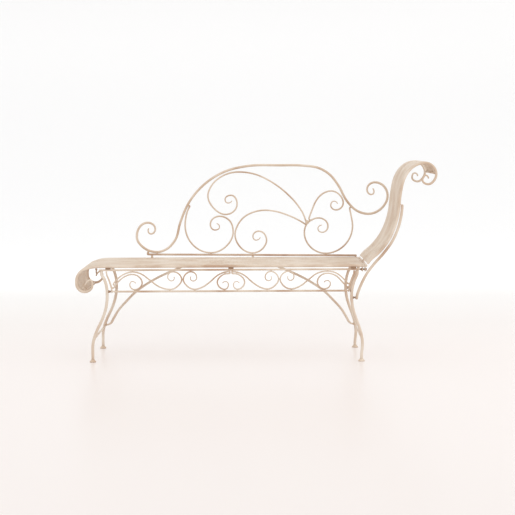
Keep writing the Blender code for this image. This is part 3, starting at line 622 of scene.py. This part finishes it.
# %% Side rails
SEAT_RAIL = [
    (-730, 443.5, 180), (-757, 441.3), (-785, 434.2), (-812, 421.5), (-826, 403), (-832, 377, 270),
    (-829, 352), (-815, 334), (-793, 327.5, 0), (-771, 335), (-758.5, 355, 90), (-769, 382.5, 180),
    (-781, 376), (-790, 358)]
HEAD_RAIL = [
    (521, 464), (569, 507.7), (610.4, 561.2), (636.6, 619), (652.5, 677.6), (659, 729), (666, 784),
    (679, 838), (704, 881), (741, 908.5), (779, 915.5, 0), (813, 900), (828, 863, 270), (818, 835),
    (792, 818, 180), (765, 838, 90), (778, 859, 0), (792, 843)]
TIP_WIDE, TIP_THICK = 0.72, 0.56    # a drawn tip, as shares of the bar across and along the bend


def drawn_down(at_start=0.0, at_end=0.0):
    """The taper of a bar whose ends are forged thinner over the given lengths."""
    def shape(from_start, from_end):
        share = min(from_start / at_start if at_start else 1.0, from_end / at_end if at_end else 1.0, 1.0)
        return TIP_WIDE + (1 - TIP_WIDE) * share, TIP_THICK + (1 - TIP_THICK) * share
    return shape


HEAD_RAIL_GAP = 0.0035      # from the joint bar to the end of the headrest rail
seat_line = bend([(JOINT_X - CROSS_D / 2 - GAP, RAIL_Z, 180)] + drawn(SEAT_RAIL))
head_away = (Vector(drawn(HEAD_RAIL)[0][:2]) - Vector((HEAD_JOINT_X, RAIL_Z))).normalized()
head_start = Vector((HEAD_JOINT_X, RAIL_Z)) + head_away * (CROSS_D / 2 + HEAD_RAIL_GAP)
head_line = bend([tuple(head_start)] + drawn(HEAD_RAIL))
SIDES = {"front": -RAIL_Y, "back": RAIL_Y}
laid = {"front": [], "back": []}        # every bar laid in a side, for finding where bars touch


def lay_bar(name, line, side, diameter, material, node, shape=None, dome=None):
    """A round bar in the front or the back plane."""
    ends = diameter * (0.5 if not shape else 0.5 * TIP_THICK) if dome is None else dome
    shell = sweep(line, SIDES[side], round_section(diameter), len(laid[side]) * 1.7, ends, shape)
    laid[side].append((name, line, diameter / 2))
    return finish_piece(name, [shell], material, node)


for side in SIDES:
    lay_bar(f"side_rail_seat_{side}", seat_line, side, RAIL_D, FRAME_ENAMEL, f"seat_rail_{side}",
            drawn_down(at_end=0.11))
    lay_bar(f"side_rail_headrest_{side}", head_line, side, RAIL_D, HEAD_RAIL_ENAMEL, f"headrest_rail_{side}",
            drawn_down(at_end=0.12))
print("seat rail", len(seat_line), "points, headrest rail", len(head_line))

# %% [markdown]
# ## Slats
#
# Fifteen flat strips, 20 by 3 mm, run the whole length of the seat and bend with the rails round
# the foot. Fifteen more make the headrest. They are welded to flat straps that cross under them.
# A strip rolled at the mill has rounded edges, and the light along those edges is what makes the
# seat read as many strips and not one sheet. So the section is a real rounded rectangle.

# %% Slats
SLAT_RUB_W = 0.0022         # how far in from its edges a strip is rubbed
STRAP_W, STRAP_T, STRAP_BITE = 0.022, 0.004, 0.001
STRAP_LENGTH = 2 * RAIL_Y - RAIL_D - 2 * GAP
HEAD_SLAT_GAP = 0.006       # from the joint bar to the ends of the headrest slats


def strip_section(width, thickness, edge=0.0011, steps=3):
    """A flat bar's section with mill-rounded edges."""
    points = []
    for corner, (cy, cz) in enumerate(((1, 1), (-1, 1), (-1, -1), (1, -1))):
        for step in range(steps):
            angle = math.radians(90) * (corner + step / (steps - 1))
            points.append((cy * (width / 2 - edge) + edge * math.cos(angle),
                           cz * (thickness / 2 - edge) + edge * math.sin(angle)))
    return points


def slat_edge_rub(a, _):
    return rub_of_edge(a, SLAT_W / 2, SLAT_RUB_W)


def lay_slats(name, face, straps, node):
    """The strips of one panel, and the straps they are welded to."""
    shells = []
    for number in range(SLAT_COUNT):
        y = (number - (SLAT_COUNT - 1) / 2) * SLAT_PITCH
        section = strip_section(SLAT_W, SLAT_T)
        shells.append(sweep(face, y, section, number * 3.1, edge_rub=slat_edge_rub))
    for place, under in straps:
        near = min(range(1, len(face) - 1), key=lambda k: (face[k] - Vector(place)).length)
        direction = direction_at(face, near)
        below = to_left(direction) * under
        middle = face[near] + below * (SLAT_T / 2 + STRAP_T / 2 - STRAP_BITE)
        tilt = -math.degrees(math.atan2(direction.y, direction.x))
        shells.append(slab((middle.x, 0.0, middle.y), (STRAP_W, STRAP_LENGTH, STRAP_T), tilt))
    return finish_piece(name, shells, SLAT_ENAMEL, node)


def until_bar(line, node):
    """The line as far as the bar that the slats end on."""
    bar = middle_of(node)
    nearest = min(range(len(line)), key=lambda k: (line[k] - Vector((bar.x, bar.z))).length)
    return line[:nearest + 2]


SLAT_PROUD = 0.0003         # slat faces above the top of the rails
SLAT_OFFSET = RAIL_D / 2 + SLAT_PROUD - SLAT_T / 2
under_slat = SLAT_OFFSET - SLAT_T / 2
slat_start = Vector((JOINT_X - math.sqrt((CROSS_D / 2) ** 2 - under_slat ** 2) - GAP, RAIL_Z))
seat_face = until_bar(beside([slat_start] + seat_line[1:], -SLAT_OFFSET), "seat_roll_bar")
head_slat_start = Vector((HEAD_JOINT_X, RAIL_Z)) + head_away * (CROSS_D / 2 + HEAD_SLAT_GAP)
head_face = until_bar(beside([head_slat_start] + head_line[1:], SLAT_OFFSET), "headrest_roll_bar")
seat_straps = [(p[:2], 1.0) for p in drawn([(x, (RAIL_Z + SLAT_OFFSET) * 1000) for x in
                                            (-620, -250, 120, 440)] + [(-812, 424)])]
head_straps = [(p[:2], -1.0) for p in drawn([(569, 508), (644, 647.5), (679, 838), (779, 915)])]
lay_slats("slats_seat", seat_face, seat_straps, "seat_slat_panel")
lay_slats("slats_headrest", head_face, head_straps, "headrest_slat_panel")
print("slat pitch", round(SLAT_PITCH * 1000, 1), "mm")

# %% [markdown]
# ## Bars across the bed
#
# Two bars lie side by side where the headrest bolts to the seat. Each has two drilled lugs under
# it. A lug is a bit of flat bar with its lower corners ground off and one hole, so the plate is
# made as a ring of faces round the hole. Thinner bars lie inside the rolls, under the slat ends.

# %% Bars across
def cross_bar(place_x, place_z, diameter, length, seed, ends=0.0015):
    """A round bar along y, with the end edges filed."""
    profile = [(diameter / 2 - ends, 0.0), (diameter / 2 - ends * 0.3, ends * 0.4)]
    steps = math.ceil(length / LONGEST_PIECE)
    for k in range(steps + 1):
        at = ends + (length - 2 * ends) * k / steps
        profile.append((diameter / 2 * forged(at, seed), at))
    profile += [(diameter / 2 - ends * 0.3, length - ends * 0.4), (diameter / 2 - ends, length)]
    return lathe(profile, (place_x, -length / 2, place_z), "Y", 16)


def drilled_lug(x, y, top, bottom, width, thickness, hole_z, hole):
    """A plate across x with one hole. Its outline is met by rays from the hole."""
    chamfer = (width / 2 + hole_z - bottom) * 0.86 / math.sqrt(2)
    rays = 32
    verts, faces, rubs = [], [], []
    for k in range(rays):
        across, up = math.cos(math.tau * k / rays), math.sin(math.tau * k / rays)
        reach = width / 2 / max(abs(across), 1e-6)
        reach = min(reach, ((top - hole_z) if up > 0 else (hole_z - bottom)) / max(abs(up), 1e-6))
        if up < 0:
            reach = min(reach, chamfer / ((abs(across) + abs(up)) / math.sqrt(2)))
        for radius, side in ((reach, 0.5), (hole / 2, 0.5), (hole / 2, -0.5), (reach, -0.5)):
            verts.append((x + thickness * side, y + across * radius, hole_z + up * radius))
            rubs.append(0.9 if radius == reach else 0.4)
        here, there = 4 * k, 4 * ((k + 1) % rays)
        for corner in range(4):
            after = (corner + 1) % 4
            faces.append((here + corner, here + after, there + after, there + corner))
    return verts, faces, [(v[2], v[1], v[0]) for v in verts], rubs


LUG_W, LUG_T, LUG_DROP, BOLT_HOLE = 0.022, 0.004, 0.022, 0.009
LUG_HOLE_Z = RAIL_Z - CROSS_D / 2 - LUG_DROP * 0.55
LUG_INSET, LUG_BITE = 0.022, 0.003      # from the rail's middle, and into the bar
LUG_Y = RAIL_Y - LUG_INSET
SEAT_LUG_X = JOINT_X - CROSS_D / 4
HEAD_LUG_X = HEAD_JOINT_X - CROSS_D / 2 + LUG_T / 2
for name, bar_x, lug_x, node in (("joint_bar_seat", JOINT_X, SEAT_LUG_X, "seat_joint_bar"),
                                 ("joint_bar_headrest", HEAD_JOINT_X, HEAD_LUG_X, "headrest_joint_bar")):
    shells = [cross_bar(bar_x, RAIL_Z, CROSS_D, 2 * RAIL_Y + RAIL_D, bar_x)]
    for y in (-LUG_Y, LUG_Y):
        shells.append(drilled_lug(lug_x, y, RAIL_Z - LUG_BITE, RAIL_Z - CROSS_D / 2 - LUG_DROP,
                                  LUG_W, LUG_T, LUG_HOLE_Z, BOLT_HOLE))
    finish_piece(name, shells, FRAME_ENAMEL, node)
for name, node in (("roll_bar_foot", "seat_roll_bar"), ("roll_bar_head", "headrest_roll_bar")):
    place = middle_of(node)
    shell = cross_bar(place.x, place.z, ROLL_BAR_D, STRAP_LENGTH, place.x, 0.0008)
    finish_piece(name, [shell], FRAME_ENAMEL, node)
print("lug holes at", round(LUG_HOLE_Z, 4), "m")

# %% [markdown]
# ## Bolts and packing
#
# The headrest comes off for transport, so it is held by two hexagon bolts, and the seat is bolted
# to the frame through small packing blocks. The shorter bolts have washers. Corners of the
# hexagon are turned off on the real thing, and the free end shows its thread. Both are there as
# geometry.

# %% Nuts and threads
NUT_FLATS, NUT_THICK, SHANK_D = 0.012, 0.0055, 0.008
WASHER_D, WASHER_T = 0.0138, 0.0012
THIN_BOLT_D, HANGING_NUT_FLATS, HANGING_NUT_THICK = 0.0065, 0.0095, 0.007


def hexagon(across_flats):
    """The outline of a nut, as a distance from its middle."""
    def reach(angle):
        off = (angle + math.radians(30)) % math.radians(60) - math.radians(30)
        return across_flats / 2 / math.cos(off)
    return reach


def hex_head(across_flats, thickness, place, axis, start=0.0):
    """A nut or bolt head with its corners turned off at the top."""
    corner = across_flats / 2 / math.cos(math.radians(30))
    profile = [(corner * 0.96, start), (corner * 1.01, start + thickness * 0.12),
               (corner * 1.01, start + thickness * 0.72), (across_flats / 2 * 0.97, start + thickness),
               (across_flats / 2 * 0.5, start + thickness)]
    return lathe(profile, place, axis, 36, hexagon(across_flats), 0.5)


def thread(diameter, length, place, axis, start=0.0, pitch=0.00125):
    """A threaded end, as ridges. The pitch is coarse, so that it shows."""
    profile = []
    turns = max(2, round(length / pitch))
    for k in range(turns):
        at = start + length * k / turns
        profile += [(diameter / 2 * 0.86, at), (diameter / 2, at + length / turns / 2)]
    profile += [(diameter / 2 * 0.86, start + length * 0.98), (diameter / 2 * 0.7, start + length)]
    return lathe(profile, place, axis, 16, None, 0.3)


def washer(place, axis, start):
    profile = [(WASHER_D / 2 - 0.0003, start), (WASHER_D / 2, start + WASHER_T * 0.3),
               (WASHER_D / 2, start + WASHER_T * 0.7), (WASHER_D / 2 - 0.0003, start + WASHER_T)]
    return lathe(profile, place, axis, 28, None, 0.6)


print("nut across its corners", round(NUT_FLATS / math.cos(math.radians(30)) * 1000, 1), "mm")

# %% Bolts
for side, y in (("front", -LUG_Y), ("back", LUG_Y)):
    low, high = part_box(f"joint_bolt_{side}")
    tail_end = low.x
    head_face_x = high.x - NUT_THICK
    grip = HEAD_LUG_X - SEAT_LUG_X + LUG_T + 2 * GAP
    nut_face_x = head_face_x - grip
    shells = [hex_head(NUT_FLATS, NUT_THICK, (head_face_x, y, LUG_HOLE_Z), "X"),
              lathe([(SHANK_D / 2, 0.0), (SHANK_D / 2, grip)], (nut_face_x, y, LUG_HOLE_Z), "X", 20),
              hex_head(NUT_FLATS, NUT_THICK, (nut_face_x, y, LUG_HOLE_Z), "-X"),
              thread(SHANK_D, nut_face_x - NUT_THICK - tail_end, (nut_face_x, y, LUG_HOLE_Z), "-X",
                     NUT_THICK)]
    finish_piece(f"hinge_line_bolt_{side}", shells, BROWN_STEEL, f"joint_bolt_{side}")
    low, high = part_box(f"foot_end_bolt_{side}")
    place = ((low.x + high.x) / 2, SIDES[side], high.z - HANGING_NUT_THICK)
    shells = [hex_head(HANGING_NUT_FLATS, HANGING_NUT_THICK, place, "Z"),
              thread(THIN_BOLT_D, high.z - low.z - HANGING_NUT_THICK, place, "Z",
                     low.z - high.z + HANGING_NUT_THICK)]
    finish_piece(f"foot_roll_bolt_{side}", shells, BROWN_STEEL, f"foot_end_bolt_{side}")


def packed_bolt(name, node):
    """A short bolt along x between two bars: a washer against each, a nut and thread between."""
    low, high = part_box(node)
    length = high.x - low.x
    place = (low.x, (low.y + high.y) / 2, (low.z + high.z) / 2)
    room = max(length - 2 * WASHER_T, 0.001)
    shells = [washer(place, "X", 0.0), washer(place, "X", length - WASHER_T),
              hex_head(min(NUT_FLATS, (high.z - low.z) * 0.85), min(NUT_THICK, room * 0.6), place, "X",
                       WASHER_T),
              thread(THIN_BOLT_D, room, place, "X", WASHER_T)]
    return finish_piece(name, shells, BROWN_STEEL, node)


for end in ("left", "right"):
    packed_bolt(f"apron_side_bolt_{end}", f"apron_bolt_{end}")
for side in SIDES:
    packed_bolt(f"support_bolt_{side}", f"support_spacer_{side}")
print("bolts", 8)


# %% Packing blocks and plates
PACKING_EDGE = 0.0009       # filed off their edges


def packing(name, node, material):
    low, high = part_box(node)
    block = slab((low + high) / 2, tuple(high - low), 0.0, PACKING_EDGE)
    return finish_piece(name, [block], material, node)


for place in ("left", "middle", "right"):
    packing(f"packing_{place}", f"apron_spacer_{place}", BROWN_STEEL)
for end in ("left", "right"):
    packing(f"back_leg_plate_{end}", f"rear_leg_plate_{end}", LEG_ENAMEL)
print("blocks 3, plates 2")

# %% [markdown]
# ## Legs and feet
#
# Four bars of 14 mm stock sweep out, in, and out again to the foot. Each end of the bed has its
# own template, and the front and the back leg are both bent on it. A foot is a disc turned on the
# lathe with a soft upper rim. Round its lower edge it is painted in the brown of bare undercoat,
# as painted shade under the rim.

# %% Legs
LEFT_LEG = [
    (-715.5, 423, 270), (-715.5, 412, 270), (-703.5, 388), (-698.5, 375), (-692.5, 350), (-690, 308, 270),
    (-697, 250), (-714, 200), (-738, 150), (-755, 102), (-759.5, 70, 270), (-759.5, 14, 270)]
RIGHT_LEG = [
    (465.5, 423, 270), (465.5, 412, 270), (456.5, 388), (451, 375), (444, 350), (438.5, 305, 270),
    (444, 250), (459, 200), (477, 150), (487.5, 105), (489, 75), (484.5, 22, 270), (484.5, 14, 270)]
leg_lines = {"left": bend(drawn(LEFT_LEG, leg_height)), "right": bend(drawn(RIGHT_LEG, leg_height))}
for end, line in leg_lines.items():
    for side in SIDES:
        lay_bar(f"leg_{end}_{side}", line, side, LEG_D, LEG_ENAMEL, f"leg_{side}_{end}", dome=0.0)
print("leg top", round(LEG_TOP, 4), "foot top", round(FOOT_TOP, 4))


# %% Feet
PAINTED_SHADE_LINE = 0.0042          # height up to which a foot's lower edge is painted in shade


# The brown band below the line is painted shade under the foot's rim.
def foot_rub_and_painted_shade(height):
    """Painted shade round the lower edge, in the brown of bare undercoat; the upper rim stays whole."""
    return 1.0 if height < PAINTED_SHADE_LINE else 0.1


FOOT_PROFILE = [
    (0.0118, 0.0), (0.0138, 0.0004), (0.0147, 0.0013), (0.0150, 0.0026), (0.0150, 0.0044), (0.0147, 0.0056),
    (0.0138, 0.0066), (0.0124, 0.0074), (0.0112, 0.0083), (0.0104, 0.0094), (0.0093, 0.0108),
    (0.0082, 0.0120), (0.0079, 0.0139)]
for end, line in leg_lines.items():
    for side, y in SIDES.items():
        shell = lathe(FOOT_PROFILE, (line[-1].x, y, 0.0), "Z", 40, None, foot_rub_and_painted_shade)
        finish_piece(f"turned_foot_{end}_{side}", [shell], FOOT_ENAMEL, f"foot_{side}_{end}", crease=50)
print("feet 4")

# %% Stretchers between front and back legs
COLLAR = [(STRETCHER_D / 2 + 0.0004, 0.0), (STRETCHER_D / 2 + 0.0021, 0.0006),
          (STRETCHER_D / 2 + 0.0016, 0.0022), (STRETCHER_D / 2 + 0.0003, 0.0042)]
for end, line in leg_lines.items():
    low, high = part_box(f"leg_stretcher_{end}")
    middle = ((low.x + high.x) / 2, (low.z + high.z) / 2)
    shells = [cross_bar(*middle, STRETCHER_D, high.y - low.y, low.x, 0.0004)]
    for y, axis in ((low.y, "Y"), (high.y, "-Y")):
        shells.append(lathe(COLLAR, (middle[0], y, middle[1]), axis, 24, None, 0.9))
    finish_piece(f"stretcher_{end}", shells, LEG_ENAMEL, f"leg_stretcher_{end}")
print("stretchers 2")

# %% [markdown]
# ## Knee braces and headrest supports
#
# Behind, a 12 mm brace springs from low on each leg up to the rail and shares the load. Its lower
# end is hammered flat to seat on the leg. Each headrest support is a 13 mm arm bolted to the leg
# at the bottom and curving up close under the headrest rail.

# %% Braces and supports
BRACE = [
    (-740.5, 117, 0), (-720, 126), (-707, 148), (-680, 192), (-646, 230), (-597, 279), (-538, 321),
    (-481, 353), (-400, 389), (-330, 417), (-270, 431.2, 0), (-250, 431.2, 0)]
BRACE_MIDDLE = -131.5
SUPPORT = [
    (462, 287), (465, 310), (474, 335), (488, 368), (509, 407), (544, 453), (586, 500), (627, 557),
    (653.5, 617), (668, 677), (672.5, 726)]
BRACE_TOP = RAIL_Z - RAIL_D / 2 - BRACE_D / 2 - GAP
BRACE_FLAT = 0.0028         # hammered off the brace where it seats on the leg


def brace_height(z_mm):
    low, high = BRACE[0][1], BRACE[-1][1]
    return low / 1000 + (z_mm - low) / (high - low) * (BRACE_TOP - low / 1000)


def brace_line(points, leg_line, outward):
    """The brace's line, started at the side of its leg."""
    placed = drawn(points, brace_height)
    start_x = x_at(leg_line, placed[0][1]) - outward * (LEG_D / 2 + BRACE_D / 2 + GAP - BRACE_FLAT)
    return bend([(start_x, *placed[0][1:])] + placed[1:])


lay_bar("brace_left", brace_line(BRACE, leg_lines["left"], -1), "back", BRACE_D, LEG_ENAMEL,
        "knee_brace_left", drawn_down(at_start=0.03))
lay_bar("brace_right", brace_line(mirrored(BRACE, BRACE_MIDDLE), leg_lines["right"], 1), "back",
        BRACE_D, LEG_ENAMEL, "knee_brace_right", drawn_down(at_start=0.03))
support_line = bend(drawn(SUPPORT))
for side in SIDES:
    lay_bar(f"headrest_arm_{side}", support_line, side, SUPPORT_D, FRAME_ENAMEL,
            f"headrest_support_{side}")
print("braces 2, arms 2")

# %% [markdown]
# ## Apron
#
# Under the front rail, two straight bars hold eight scrolls between them, nearly mirrored about
# the middle: the outer two at the right are a little narrower. Each scroll is 7 mm bar wound
# round a former, from the eye outwards. They are made as separate bars that only touch, because
# that is how the welder gets them.

# %% Apron
APRON_MIDDLE = -118.0
APRON_END = [(-574.5, 423, 270), (-574.5, 416, 270), (-562, 380), (-552, 345), (-549, 322)]
APRON_OUTER_C = [
    (-540, 346), (-522, 372), (-492, 397), (-457, 408, 0), (-422, 394), (-410, 369, 270), (-422, 345),
    (-444, 336.5, 180), (-467, 360, 90), (-455, 375, 0), (-440, 365)]
APRON_OUTER_S = [
    (-544, 362), (-522, 389), (-492, 410), (-454, 419.5, 0), (-412, 409), (-377, 383), (-332, 350),
    (-282, 337, 0), (-242, 356), (-227.5, 383, 90), (-240, 409), (-266, 419.5, 180), (-292, 396, 270),
    (-274, 377, 0), (-261.5, 390, 90), (-264, 397)]
APRON_OUTER_C_RIGHT = [
    (536, 346), (513, 370), (488, 396), (447, 409.5, 180), (412, 397), (399, 370, 270), (408, 347),
    (431, 336.5, 0), (459, 362, 90), (445, 376, 180), (430, 367)]
APRON_OUTER_S_RIGHT = [
    (539, 362), (515, 389), (488, 410), (447, 419.5, 180), (396, 409), (361, 383), (319, 350),
    (279, 337, 180), (240, 355), (227.5, 383, 90), (240, 409), (266, 419.5, 0), (291, 396, 270),
    (274, 377, 180), (262, 390, 90), (264, 398)]
APRON_INNER_S = [
    (-5, 419.5, 180), (-32, 416), (-62, 402), (-97, 371), (-132, 347), (-167, 337, 180), (-204, 354),
    (-219.7, 383, 90), (-208, 409), (-185, 419.5, 0), (-158, 393, 270), (-174, 376, 180), (-187, 388, 90),
    (-184, 398)]
APRON_CENTRE_C = [
    (-5, 410, 180), (-18, 409.5, 180), (-44, 400), (-63, 370, 270), (-52, 346), (-30, 336.5, 0),
    (-11.5, 358, 90), (-25, 373, 180), (-39, 365)]


def straight(start_x, end_x, z):
    """A level bar, cut into pieces so that its thickness can wander."""
    pieces = math.ceil((end_x - start_x) / LONGEST_PIECE)
    return [Vector((start_x + (end_x - start_x) * k / pieces, z)) for k in range(pieces + 1)]


for name, node, z in (("apron_rail_top", "apron_top_rail", TOP_RAIL_Z),
                      ("apron_rail_low", "apron_lower_rail", LOW_RAIL_Z)):
    low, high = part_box(node)
    lay_bar(name, straight(low.x, high.x, z), "front", APRON_RAIL_D, FRAME_ENAMEL, node)
for end, points, shift in (("left", APRON_END, APRON_MIDDLE),
                           ("right", mirrored(APRON_END), APRON_MIDDLE - 6.0)):
    placed = drawn(points, apron_height, shift)
    placed[0] = (placed[0][0], LEG_TOP, *placed[0][2:])
    lay_bar(f"apron_end_{end}", bend(placed), "front", APRON_END_D, FRAME_ENAMEL,
            f"apron_end_bar_{end}")
APRON_SCROLLS = (("outer_c", APRON_OUTER_C, APRON_OUTER_C_RIGHT),
                 ("outer_s", APRON_OUTER_S, APRON_OUTER_S_RIGHT),
                 ("inner_s", APRON_INNER_S, mirrored(APRON_INNER_S)),
                 ("centre_c", APRON_CENTRE_C, mirrored(APRON_CENTRE_C)))
for kind, left_shape, right_shape in APRON_SCROLLS:
    for end, points in (("left", left_shape), ("right", right_shape)):
        lay_bar(f"apron_scroll_{kind}_{end}", bend(drawn(points, apron_height, APRON_MIDDLE)), "front",
                APRON_SCROLL_D, FRAME_ENAMEL, f"apron_{kind}_{end}", drawn_down(at_end=0.09))
print("bars in front", len(laid["front"]))

# %% [markdown]
# ## The scrolled back
#
# One 12 mm bar makes the outline: a scroll at the foot end, a low arch, and a curl against the
# headrest. Inside it, five lighter scrolls meet at a hub with a small pressed rosette over the
# weld. A thin rail on two stubs carries it all. Both ends of the outline are drawn down.

# %% Back
HOOP = [
    (-528, 594), (-518, 566, 0), (-497, 590, 90), (-534, 621, 180), (-588, 553, 270), (-549, 494),
    (-488, 476.4, 0), (-440, 492), (-400, 534), (-374, 620), (-330, 720), (-250, 812), (-150, 872),
    (-50, 896), (120, 900, 0), (230, 898), (312, 884), (365, 850), (402, 802), (450, 717), (495, 675),
    (550, 660, 0), (615, 687), (645, 748, 90), (583, 814.5, 180), (544, 780, 270), (565, 755, 0),
    (578, 768, 90), (571, 785)]
BACK_FOOT_SCROLL = [
    (-325.5, 701), (-340, 672), (-347, 640), (-350, 607, 270), (-334, 541), (-290, 492), (-224, 471.6, 0),
    (-150, 502), (-114, 575, 90), (-136, 634), (-181, 651, 180), (-226, 611, 270), (-203, 583.5, 0),
    (-181, 599, 90), (-196, 615)]
BACK_HIGH_SCROLL = [
    (243, 627), (231, 660), (202, 706), (152, 760), (102, 801), (52, 832), (0, 855), (-85, 868, 180),
    (-170, 846), (-220, 800), (-237, 752, 270), (-208, 690), (-151, 660, 0), (-94, 712, 90),
    (-125, 754, 180), (-153, 733, 270), (-138, 716, 0), (-119, 728)]
BACK_LOW_SCROLL = [
    (238, 612), (200, 635), (150, 657), (100, 673), (42, 680, 180), (-10, 672), (-62, 645), (-95, 600),
    (-105, 562, 270), (-86, 507), (-20, 470, 0), (38, 500), (50, 532, 90), (12, 577, 180), (-17, 552, 270),
    (-2, 533, 0), (19, 548)]
BACK_TOP_SCROLL = [
    (258, 638), (275, 683), (292, 722), (325, 759), (368, 773, 0), (408, 755), (427, 715, 270),
    (392, 680, 180), (366, 703, 90), (382, 723, 0), (399, 709)]
BACK_HEAD_SCROLL = [
    (458, 688), (465, 655), (473, 603, 270), (456, 536), (408, 486), (342, 466.4, 180), (268, 496),
    (236, 568, 90), (252, 616), (270, 630), (305, 641, 0), (352, 600, 270), (323, 570, 180), (303, 588, 90),
    (323, 605)]
lay_bar("back_outline", bend(drawn(HOOP)), "back", HOOP_D, FRAME_ENAMEL, "back_hoop",
        drawn_down(at_start=0.16, at_end=0.16))
for kind, points in (("foot", BACK_FOOT_SCROLL), ("high", BACK_HIGH_SCROLL), ("low", BACK_LOW_SCROLL),
                     ("top", BACK_TOP_SCROLL), ("head", BACK_HEAD_SCROLL)):
    lay_bar(f"back_{kind}_curl", bend(drawn(points)), "back", SCROLL_D, FRAME_ENAMEL,
            f"back_{kind}_scroll", drawn_down(at_end=0.10))
low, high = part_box("back_base_rail")
base_slope = [Vector((low.x, high.z - BASE_D / 2)), Vector((high.x, low.z + BASE_D / 2))]
BASE_PIECES = 50
base_line = [base_slope[0].lerp(base_slope[1], k / BASE_PIECES) for k in range(BASE_PIECES + 1)]
# The rail at the back takes the darker enamel, which paints shade on it.
lay_bar("back_rail", base_line, "back", BASE_D, BACK_RAIL_SHADED_ENAMEL, "back_base_rail")
for place in ("foot", "middle"):
    low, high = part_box(f"back_stub_{place}")
    radius = (high.x - low.x) / 2
    height = high.z - low.z
    profile = [(radius * 0.93, 0.0), (radius, height * 0.12), (radius * 0.97, height * 0.5),
               (radius, height * 0.88), (radius * 0.93, height)]
    shell = lathe(profile, ((low.x + high.x) / 2, RAIL_Y, low.z), "Z", 24, None, 0.7)
    finish_piece(f"back_foot_{place}", [shell], FRAME_ENAMEL, f"back_stub_{place}")
print("bars behind", len(laid["back"]))


# %% Rosette over the hub
ROSETTE_REACH, LOBE_DEPTH, LOBES = 0.0104, 0.0009, 8


def petals(angle):
    """Eight shallow lobes round the rim."""
    return ROSETTE_REACH - LOBE_DEPTH * (0.5 - 0.5 * math.cos(LOBES * angle))


low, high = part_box("back_rosette")
profile = [(0.0098, 0.0), (ROSETTE_REACH, 0.0005), (ROSETTE_REACH, 0.0013), (0.0096, 0.0021),
           (0.0082, 0.0024), (0.0070, 0.0022), (0.0060, 0.0030), (0.0046, 0.0037), (0.0022, 0.0040)]
hub_place = ((low.x + high.x) / 2, high.y, (low.z + high.z) / 2)
shell = lathe(profile, hub_place, "-Y", 48, petals, 0.6)
finish_piece("hub_rosette", [shell], FRAME_ENAMEL, "back_rosette")
print("rosette", round(ROSETTE_REACH * 2000, 1), "mm")

# %% [markdown]
# ## Welds
#
# Bars that touch are held by a short bead of weld in the notch between them, never ground off.
# The places are found by measuring: wherever two lines in one side come as near to each other as
# their thickness allows, there is a bead. It is a lump with ripples across it, drawn a little
# larger than the real 6 mm so that it can be seen.

# %% Where bars touch
FINE_STEP = 0.003           # metres between the places that are measured
BEAD_RUB = 0.85


def close_places(line_a, radius_a, line_b, radius_b, slack=0.0019):
    """Middles of the stretches where two lines are no further apart than their radii and slack."""
    def finer(line):
        result = []
        for start, end in zip(line, line[1:]):
            steps = max(1, math.ceil((end - start).length / FINE_STEP))
            result += [start.lerp(end, k / steps) for k in range(steps)]
        return result + [line[-1]]
    fine_a, fine_b = finer(line_a), finer(line_b)
    tree = KDTree(len(fine_b))
    for index, place in enumerate(fine_b):
        tree.insert((place.x, place.y, 0.0), index)
    tree.balance()
    found, run = [], []
    for place in fine_a + [Vector((99.0, 99.0))]:
        near, index, distance = tree.find((place.x, place.y, 0.0))
        if distance < radius_a + radius_b + slack:
            run.append((distance, place, Vector((near.x, near.y))))
        elif run:
            touching = min(run, key=lambda item: item[0])
            middle = (touching[1] * radius_b + touching[2] * radius_a) / (radius_a + radius_b)
            found.append((middle, (touching[2] - touching[1]).normalized()))
            run = []
    return found


def bead(place, y, across, seed, length=0.0074, width=0.0040, depth=0.0056):
    """A rippled lump of weld. across is the direction from one bar to the other."""
    along_bar = to_left(across)
    verts, grains = [], []
    rings, sides = 12, 12
    for ring in range(rings + 1):
        t = ring / rings * 2 - 1
        swell = math.sqrt(max(0.0, 1 - t * t)) + 0.06
        ripple = 1.0 + 0.07 * math.cos(ring * math.pi)
        for k in range(sides):
            angle = math.tau * k / sides
            lump = 1.0 + 0.16 * noise.noise((ring * 0.5, k * 0.6, seed))
            reach = swell * ripple * lump / 2
            spot = place + along_bar * (t * length / 2) + across * (math.cos(angle) * reach * width)
            verts.append((spot.x, y + math.sin(angle) * reach * depth, spot.y))
            grains.append((t * length, math.cos(angle), math.sin(angle)))
    return verts, tube_faces(rings + 1, sides), grains, [BEAD_RUB] * len(verts)


print("a bead of weld", len(bead(Vector((0, 0)), 0.0, Vector((1, 0)), 0.0)[1]), "faces")

# %% Beads
ROOT_REACH = 0.022          # a scroll's root is welded to the nearest bar within this


def root_weld(bars, number):
    """Weld metal from the root of a bar to the nearest other bar, when it stops short of it."""
    _, line, radius = bars[number]
    best = None
    for other, (_, other_line, _) in enumerate(bars):
        if other == number:
            continue
        for start, end in zip(other_line, other_line[1:]):
            share = min(1.0, max(0.0, (line[0] - start).dot(end - start) / (end - start).length_squared))
            place = start.lerp(end, share)
            gap = (place - line[0]).length
            if best is None or gap < best[0]:
                best = (gap, place)
    gap, place = best
    if not radius < gap < ROOT_REACH:
        return None
    return (line[0] + place) / 2, (place - line[0]).normalized(), gap + radius, radius * 2


beads = {"front": [], "back": []}
roots = 0
for side, bars in laid.items():
    y = SIDES[side]
    for first in range(len(bars)):
        for second in range(first + 1, len(bars)):
            _, line_a, radius_a = bars[first]
            _, line_b, radius_b = bars[second]
            for place, across in close_places(line_a, radius_a, line_b, radius_b):
                beads[side].append(bead(place, y, across, len(beads[side]) * 2.3))
        root = root_weld(bars, first)
        if root and bars[first][0].startswith(("apron_scroll", "back_", "brace")):
            place, across, width, thick = root
            beads[side].append(bead(place, y, across, first * 1.9, thick * 1.15, width, thick * 1.05))
            roots += 1
    finish_piece(f"weld_beads_{side}", beads[side], FRAME_ENAMEL)
print("beads in front", len(beads["front"]), "behind", len(beads["back"]), "of these roots", roots)
